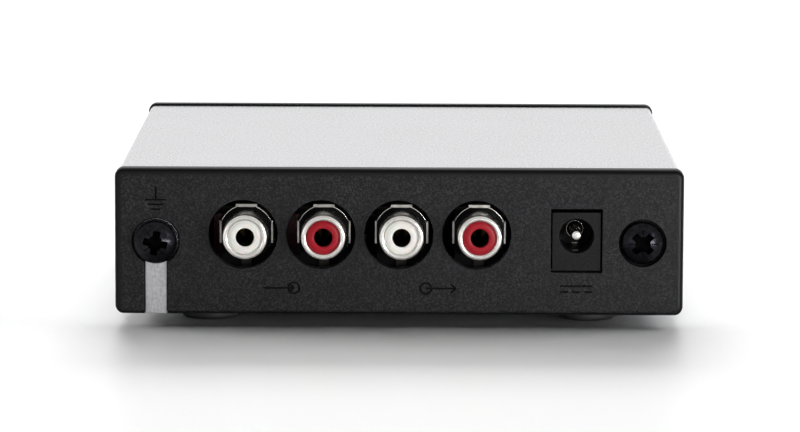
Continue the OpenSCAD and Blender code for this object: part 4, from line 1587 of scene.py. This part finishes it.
@dataclass
class Feet(SubAssembly):
    """The four rubber feet."""

    edge: float = 0.25
    dimple: float = 0.35
    dimple_rim: float = 2.6
    tread_w: float = 2.2
    chamfer: float = 0.6

    def build(self) -> None:
        """Builds each foot with a rounded tread and a shallow dimple."""
        for node in (f"foot_{end.value}_{side}" for end in End for side in ("left", "right")):
            extent = Extent.of(node)
            r, tall, lift = extent.size.x / 2, extent.size.z, self.chamfer
            hollow = [(0, self.dimple), (r - self.dimple_rim, self.dimple)]
            tread = [(r - self.tread_w, 0), (r - lift, 0), (r, lift)]
            foot = Workpiece.turned([*hollow, *tread, (r, tall), (0, tall)], closed=False)
            foot.ring_rounded(r - lift, 0, self.edge, 2).ring_rounded(r, lift, self.edge, 2).spun(90, "X")
            foot.moved(extent.middle.x, extent.middle.y, extent.low.z)
            foot.shown(f"{node}_rubber", RUBBER, Slot.RUBBER, [node])


@dataclass
class Indicator(SubAssembly):
    """The power indicator in the front cap."""

    lens_r: float = 1.5
    dome: float = 1.1
    collar_r: float = 1.9
    collar_t: float = 1.0
    collar_set: float = 2.02
    cup_r: float = 0.7
    cup_rim_r: float = 0.85
    cup_inner: Span = (0.4, 0.6)
    cup_depth: float = 0.6
    cup_tall: float = 1.2
    cup_set: float = 1.4
    post_w: float = 1.0
    post_len: float = 1.2
    post_lap: float = 0.1
    post_t: float = 0.5
    post_edge: float = 0.06

    def build(self) -> None:
        """Builds the lens and the lead frame inside it."""
        led = Extent.of("power_led")
        r, x, z, foot, top = self.lens_r, led.middle.x, led.middle.z, led.low.y, led.high.y
        collar = Extent.of("front_cap").high.y - self.collar_set
        under = collar - self.collar_t
        bead = [(r, collar), (self.collar_r, collar), (self.collar_r, under), (r, under)]
        lens = Workpiece.turned([(0, top), (r, top), *bead, (r, foot), (0, foot)], closed=False, steps=48)
        lens.ring_rounded(r, top, self.dome, 8).moved(x, 0, z)
        lens.shown("power_indicator_lens", ClearEpoxy(), Slot.EPOXY, ["power_led"])
        (floor_r, rim_r), tall = self.cup_inner, self.cup_tall
        outside = [(0, 0), (self.cup_r, 0), (self.cup_rim_r, tall)]
        inside = [(rim_r, tall), (floor_r, self.cup_depth), (0, self.cup_depth)]
        cup = Workpiece.turned([*outside, *inside], closed=False, steps=24)
        half, thick = self.post_w / 2, self.post_t / 2
        post = Workpiece.block((-half, -self.post_len, -thick), (half, self.post_lap, thick))
        cup.joined(post.crisp_rounded(self.post_edge, 1)).moved(x, foot + self.cup_set, z)
        cup.shown("power_indicator_cup", TIN, Slot.NICKEL)


@dataclass
class CircuitBoard(SubAssembly):
    """The circuit board and the parts on it, which keep their solids."""

    finishes: dict[str, Finish] = field(default_factory=NODE_FINISHES.copy)

    def build(self) -> None:
        """Gives each remaining solid its finish."""
        for node, finish in self.finishes.items():
            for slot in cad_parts[node].material_slots:
                slot.material = finish.material()
            LOG.info("%s: keeps its solid, finish %s", node, finish.name)


# ---------------------------------------------------------------- studio


@dataclass(frozen=True)
class StudioFloor(Finish):
    """White acrylic sheet: a soft reflection, a painted grey shadow deep under the case, and full white to
    the camera far off.

    Distances are in metres. The white sets in between near and far from the middle, and under tells how far
    past the case's edge the painted shadow is full and where it is gone.
    """

    name: str = "white_acrylic_floor"
    near: float = 0.11
    far: float = 0.3
    under: Span = (-0.016, -0.002)
    shaded: str = "#a2a2a2"
    sheet: str = "#fbfbfb"
    roughness: float = 0.35
    gloss: float = 0.08

    def dress(self, graph: NodeGraph) -> None:
        """Sets the finish's shader.

        Args:
            graph: The material's nodes.
        """
        place = graph.add("ShaderNodeTexCoord").outputs["Object"]
        away = graph.add("ShaderNodeVectorMath", {0: place}, operation="LENGTH").outputs["Value"]
        ends = {"Value": away, "From Min": self.near, "From Max": self.far}
        fade = graph.add("ShaderNodeMapRange", ends, interpolation_type="SMOOTHSTEP").outputs[0]
        low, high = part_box("rear_cap")[0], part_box("front_cap")[1]
        steps = (("SUBTRACT", {1: (low + high) / 2}), ("ABSOLUTE", {}), ("SUBTRACT", {1: (high - low) / 2}))
        past = place
        for operation, other in steps:
            past = graph.add("ShaderNodeVectorMath", {0: past, **other}, operation=operation).outputs[0]
        parts = graph.add("ShaderNodeSeparateXYZ", {0: past}).outputs
        edge = graph.add("ShaderNodeMath", {0: parts[0], 1: parts[1]}, operation="MAXIMUM").outputs[0]
        # Painted shadow: the sheet's colour is grey under the case and clears just inside its edge.
        sheet = graph.blend(graph.spread(edge, within=self.under), self.shaded, self.sheet)
        direct = graph.add("ShaderNodeLightPath").outputs["Is Camera Ray"]
        seen = graph.add("ShaderNodeMath", {0: fade, 1: direct}, operation="MULTIPLY").outputs[0]
        graph.wire(
            Base_Color=graph.blend(seen, sheet, "#000000"),
            Roughness=self.roughness,
            Specular_IOR_Level=self.gloss,
            Emission_Color=(1, 1, 1, 1),
            Emission_Strength=seen,
        )


@dataclass(frozen=True)
class Backdrop(Finish):
    """White paper: full white to the camera, mirrors and glass, and plain grey light to the rest."""

    name: str = "white_paper_backdrop"
    level: float = 0.02

    def dress(self, graph: NodeGraph) -> None:
        """Sets the finish's shader.

        Args:
            graph: The material's nodes.
        """
        path = graph.add("ShaderNodeLightPath").outputs
        camera, mirror, glass = path["Is Camera Ray"], path["Is Glossy Ray"], path["Is Transmission Ray"]
        seen = graph.add("ShaderNodeMath", {0: camera, 1: mirror}, operation="MAXIMUM").outputs[0]
        clear = graph.add("ShaderNodeMath", {0: seen, 1: glass}, operation="MAXIMUM").outputs[0]
        graph.wire(
            Base_Color=(0, 0, 0, 1),
            Specular_IOR_Level=0.0,
            Emission_Color=(1, 1, 1, 1),
            Emission_Strength=graph.spread(clear, self.level, within=(0, 1)),
        )


@dataclass
class Softbox:
    """A square or oblong area light, which mirrors or dull surfaces may leave out.

    Its place and size are in metres and its power is in watts.
    """

    name: str
    place: Triple
    size: Span
    power: float
    mirrored: bool = True
    diffused: bool = True

    def light(self, target: Vector) -> None:
        """Makes the light and aims it.

        Args:
            target: The point that it faces.
        """
        data = bpy.data.lights.new(self.name, "AREA")
        data.shape, data.size, data.size_y, data.energy = "RECTANGLE", *self.size, self.power
        lamp = bpy.data.objects.new(self.name, data)
        lamp.location = self.place
        lamp.rotation_euler = (target - Vector(self.place)).to_track_quat("-Z", "Y").to_euler()
        lamp.visible_glossy, lamp.visible_diffuse = self.mirrored, self.diffused
        bpy.context.scene.collection.objects.link(lamp)
        LOG.info("%s: %.2f W", self.name, self.power)


@dataclass
class Studio:
    """Floor, backdrop, lights and camera.

    Places are in metres, but the camera's place, lens and sensor are in millimetres, and its angles are in
    radians.
    """

    boxes: tuple[Softbox, ...] = (
        Softbox("low_back_softbox", (0.0, 2.45, 1.36), (1.4, 1.0), 85.0, mirrored=False),
        Softbox("middle_back_softbox", (0.0, 1.75, 1.8), (1.6, 1.2), 20.5, mirrored=False),
        Softbox("top_softbox", (0.0, 0.65, 2.45), (1.2, 1.2), 5.6, mirrored=False),
        Softbox("left_side_softbox", (-1.85, 0.25, 0.98), (1.4, 0.8), 19.0, mirrored=False),
        Softbox("right_side_softbox", (1.8, 0.25, 1.22), (1.4, 0.8), 18.0, mirrored=False),
        Softbox("right_fill", (0.3, -0.34, 0.006), (0.22, 0.011), 1.4, mirrored=False),
        Softbox("left_fill", (-0.75, -0.95, 0.012), (0.7, 0.022), 0.3, mirrored=False),
        Softbox("right_strip", (0.21, -0.36, 0.0145), (0.26, 0.027), 1.1, diffused=False),
        Softbox("left_strip", (-0.75, -0.95, 0.13), (0.7, 0.2), 0.7, diffused=False),
        Softbox("upper_kicker", (0.6, -0.52, 0.37), (0.08, 0.11), 0.32, diffused=False),
    )
    target: Triple = (0.0, 0.0, 0.015)
    world_level: float = 0.02
    mirror_level: float = 0.8
    floor_half: float = 4.0
    wall_y: float = 2.6
    wall_height: float = 4.0
    camera_place: Triple = (1.414, -842.82, 130.81)
    yaw: float = -0.0016273
    pitch: float = 0.1382159
    roll: float = 0.0039143
    lens: float = 194.15
    sensor: float = 36.0

    def build(self) -> None:
        """Builds the studio."""
        self._world()
        self._sheet("studio_floor", StudioFloor(), Matrix.Identity(4), self.floor_half)
        upright = Matrix.Translation((0, self.wall_y, self.wall_height)) @ Matrix.Rotation(pi / 2, 4, "X")
        self._sheet("studio_backdrop", Backdrop(level=self.world_level), upright, self.wall_height)
        for softbox in self.boxes:
            softbox.light(Vector(self.target))
        self._camera()
        bpy.context.scene.view_settings.view_transform = "Standard"

    def _world(self) -> None:
        """Sets an even dim world that mirrors show as grey and the camera as white."""
        world = bpy.data.worlds.new("even_grey")
        world.use_nodes = True
        graph = NodeGraph(world.node_tree, world.node_tree.nodes["Background"])
        path = graph.add("ShaderNodeLightPath").outputs
        camera, mirror, glass = path["Is Camera Ray"], path["Is Glossy Ray"], path["Is Transmission Ray"]
        plain = graph.spread(mirror, self.world_level, self.mirror_level, (0, 1))
        clear = graph.add("ShaderNodeMath", {0: camera, 1: glass}, operation="MAXIMUM").outputs[0]
        graph.wire(Color=(1, 1, 1, 1), Strength=graph.spread(clear, plain, within=(0, 1)))
        bpy.context.scene.world = world

    def _sheet(self, name: str, finish: Finish, place: Matrix, half: float) -> None:
        """Makes a flat square of the studio.

        Args:
            name: Its name.
            finish: Its finish.
            place: Its turn and place.
            half: Half its side in metres.
        """
        bm = bmesh.new()
        bmesh.ops.create_grid(bm, x_segments=1, y_segments=1, size=half, matrix=place)
        mesh = bpy.data.meshes.new(name)
        bm.to_mesh(mesh)
        bm.free()
        mesh.materials.append(finish.material())
        made = bpy.data.objects.new(name, mesh)
        bpy.context.scene.collection.objects.link(made)
        made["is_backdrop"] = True

    def _camera(self) -> None:
        """Places the camera."""
        ahead = Vector((sin(self.yaw) * cos(self.pitch), cos(self.yaw) * cos(self.pitch), -sin(self.pitch)))
        level = Vector((cos(self.yaw), -sin(self.yaw), 0))
        upward = level.cross(ahead)
        right = level * cos(self.roll) + upward * sin(self.roll)
        top = upward * cos(self.roll) - level * sin(self.roll)
        data = bpy.data.cameras.new("camera")
        data.lens, data.sensor_width = self.lens, self.sensor
        camera = bpy.data.objects.new("camera", data)
        turn = Matrix((right, top, -ahead)).transposed().to_4x4()
        camera.matrix_world = Matrix.Translation(Vector(self.camera_place) * MM) @ turn
        bpy.context.scene.collection.objects.link(camera)
        bpy.context.scene.camera = camera


def corners() -> list[list[float]]:
    """The shown object's lowest and highest corners as plain lists."""
    return [list(corner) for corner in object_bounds()]


def main() -> None:
    """Builds the sub-assemblies in order, then the studio."""
    logging.basicConfig(level=logging.INFO, format="%(name)s: %(message)s")
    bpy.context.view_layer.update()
    assemblies: list[SubAssembly] = [
        Sleeve(),
        EndCap(End.REAR),
        EndCap(End.FRONT),
        CapScrews(),
        GroundTerminal(),
        PhonoJack("input_left"),
        PhonoJack("input_right", RED, Slot.RED),
        PhonoJack("output_left"),
        PhonoJack("output_right", RED, Slot.RED),
        PowerInlet(),
        Feet(),
        Indicator(),
        CircuitBoard(),
    ]
    for assembly in assemblies:
        assembly.build()
    Studio().build()


if __name__ == "__main__":
    main()
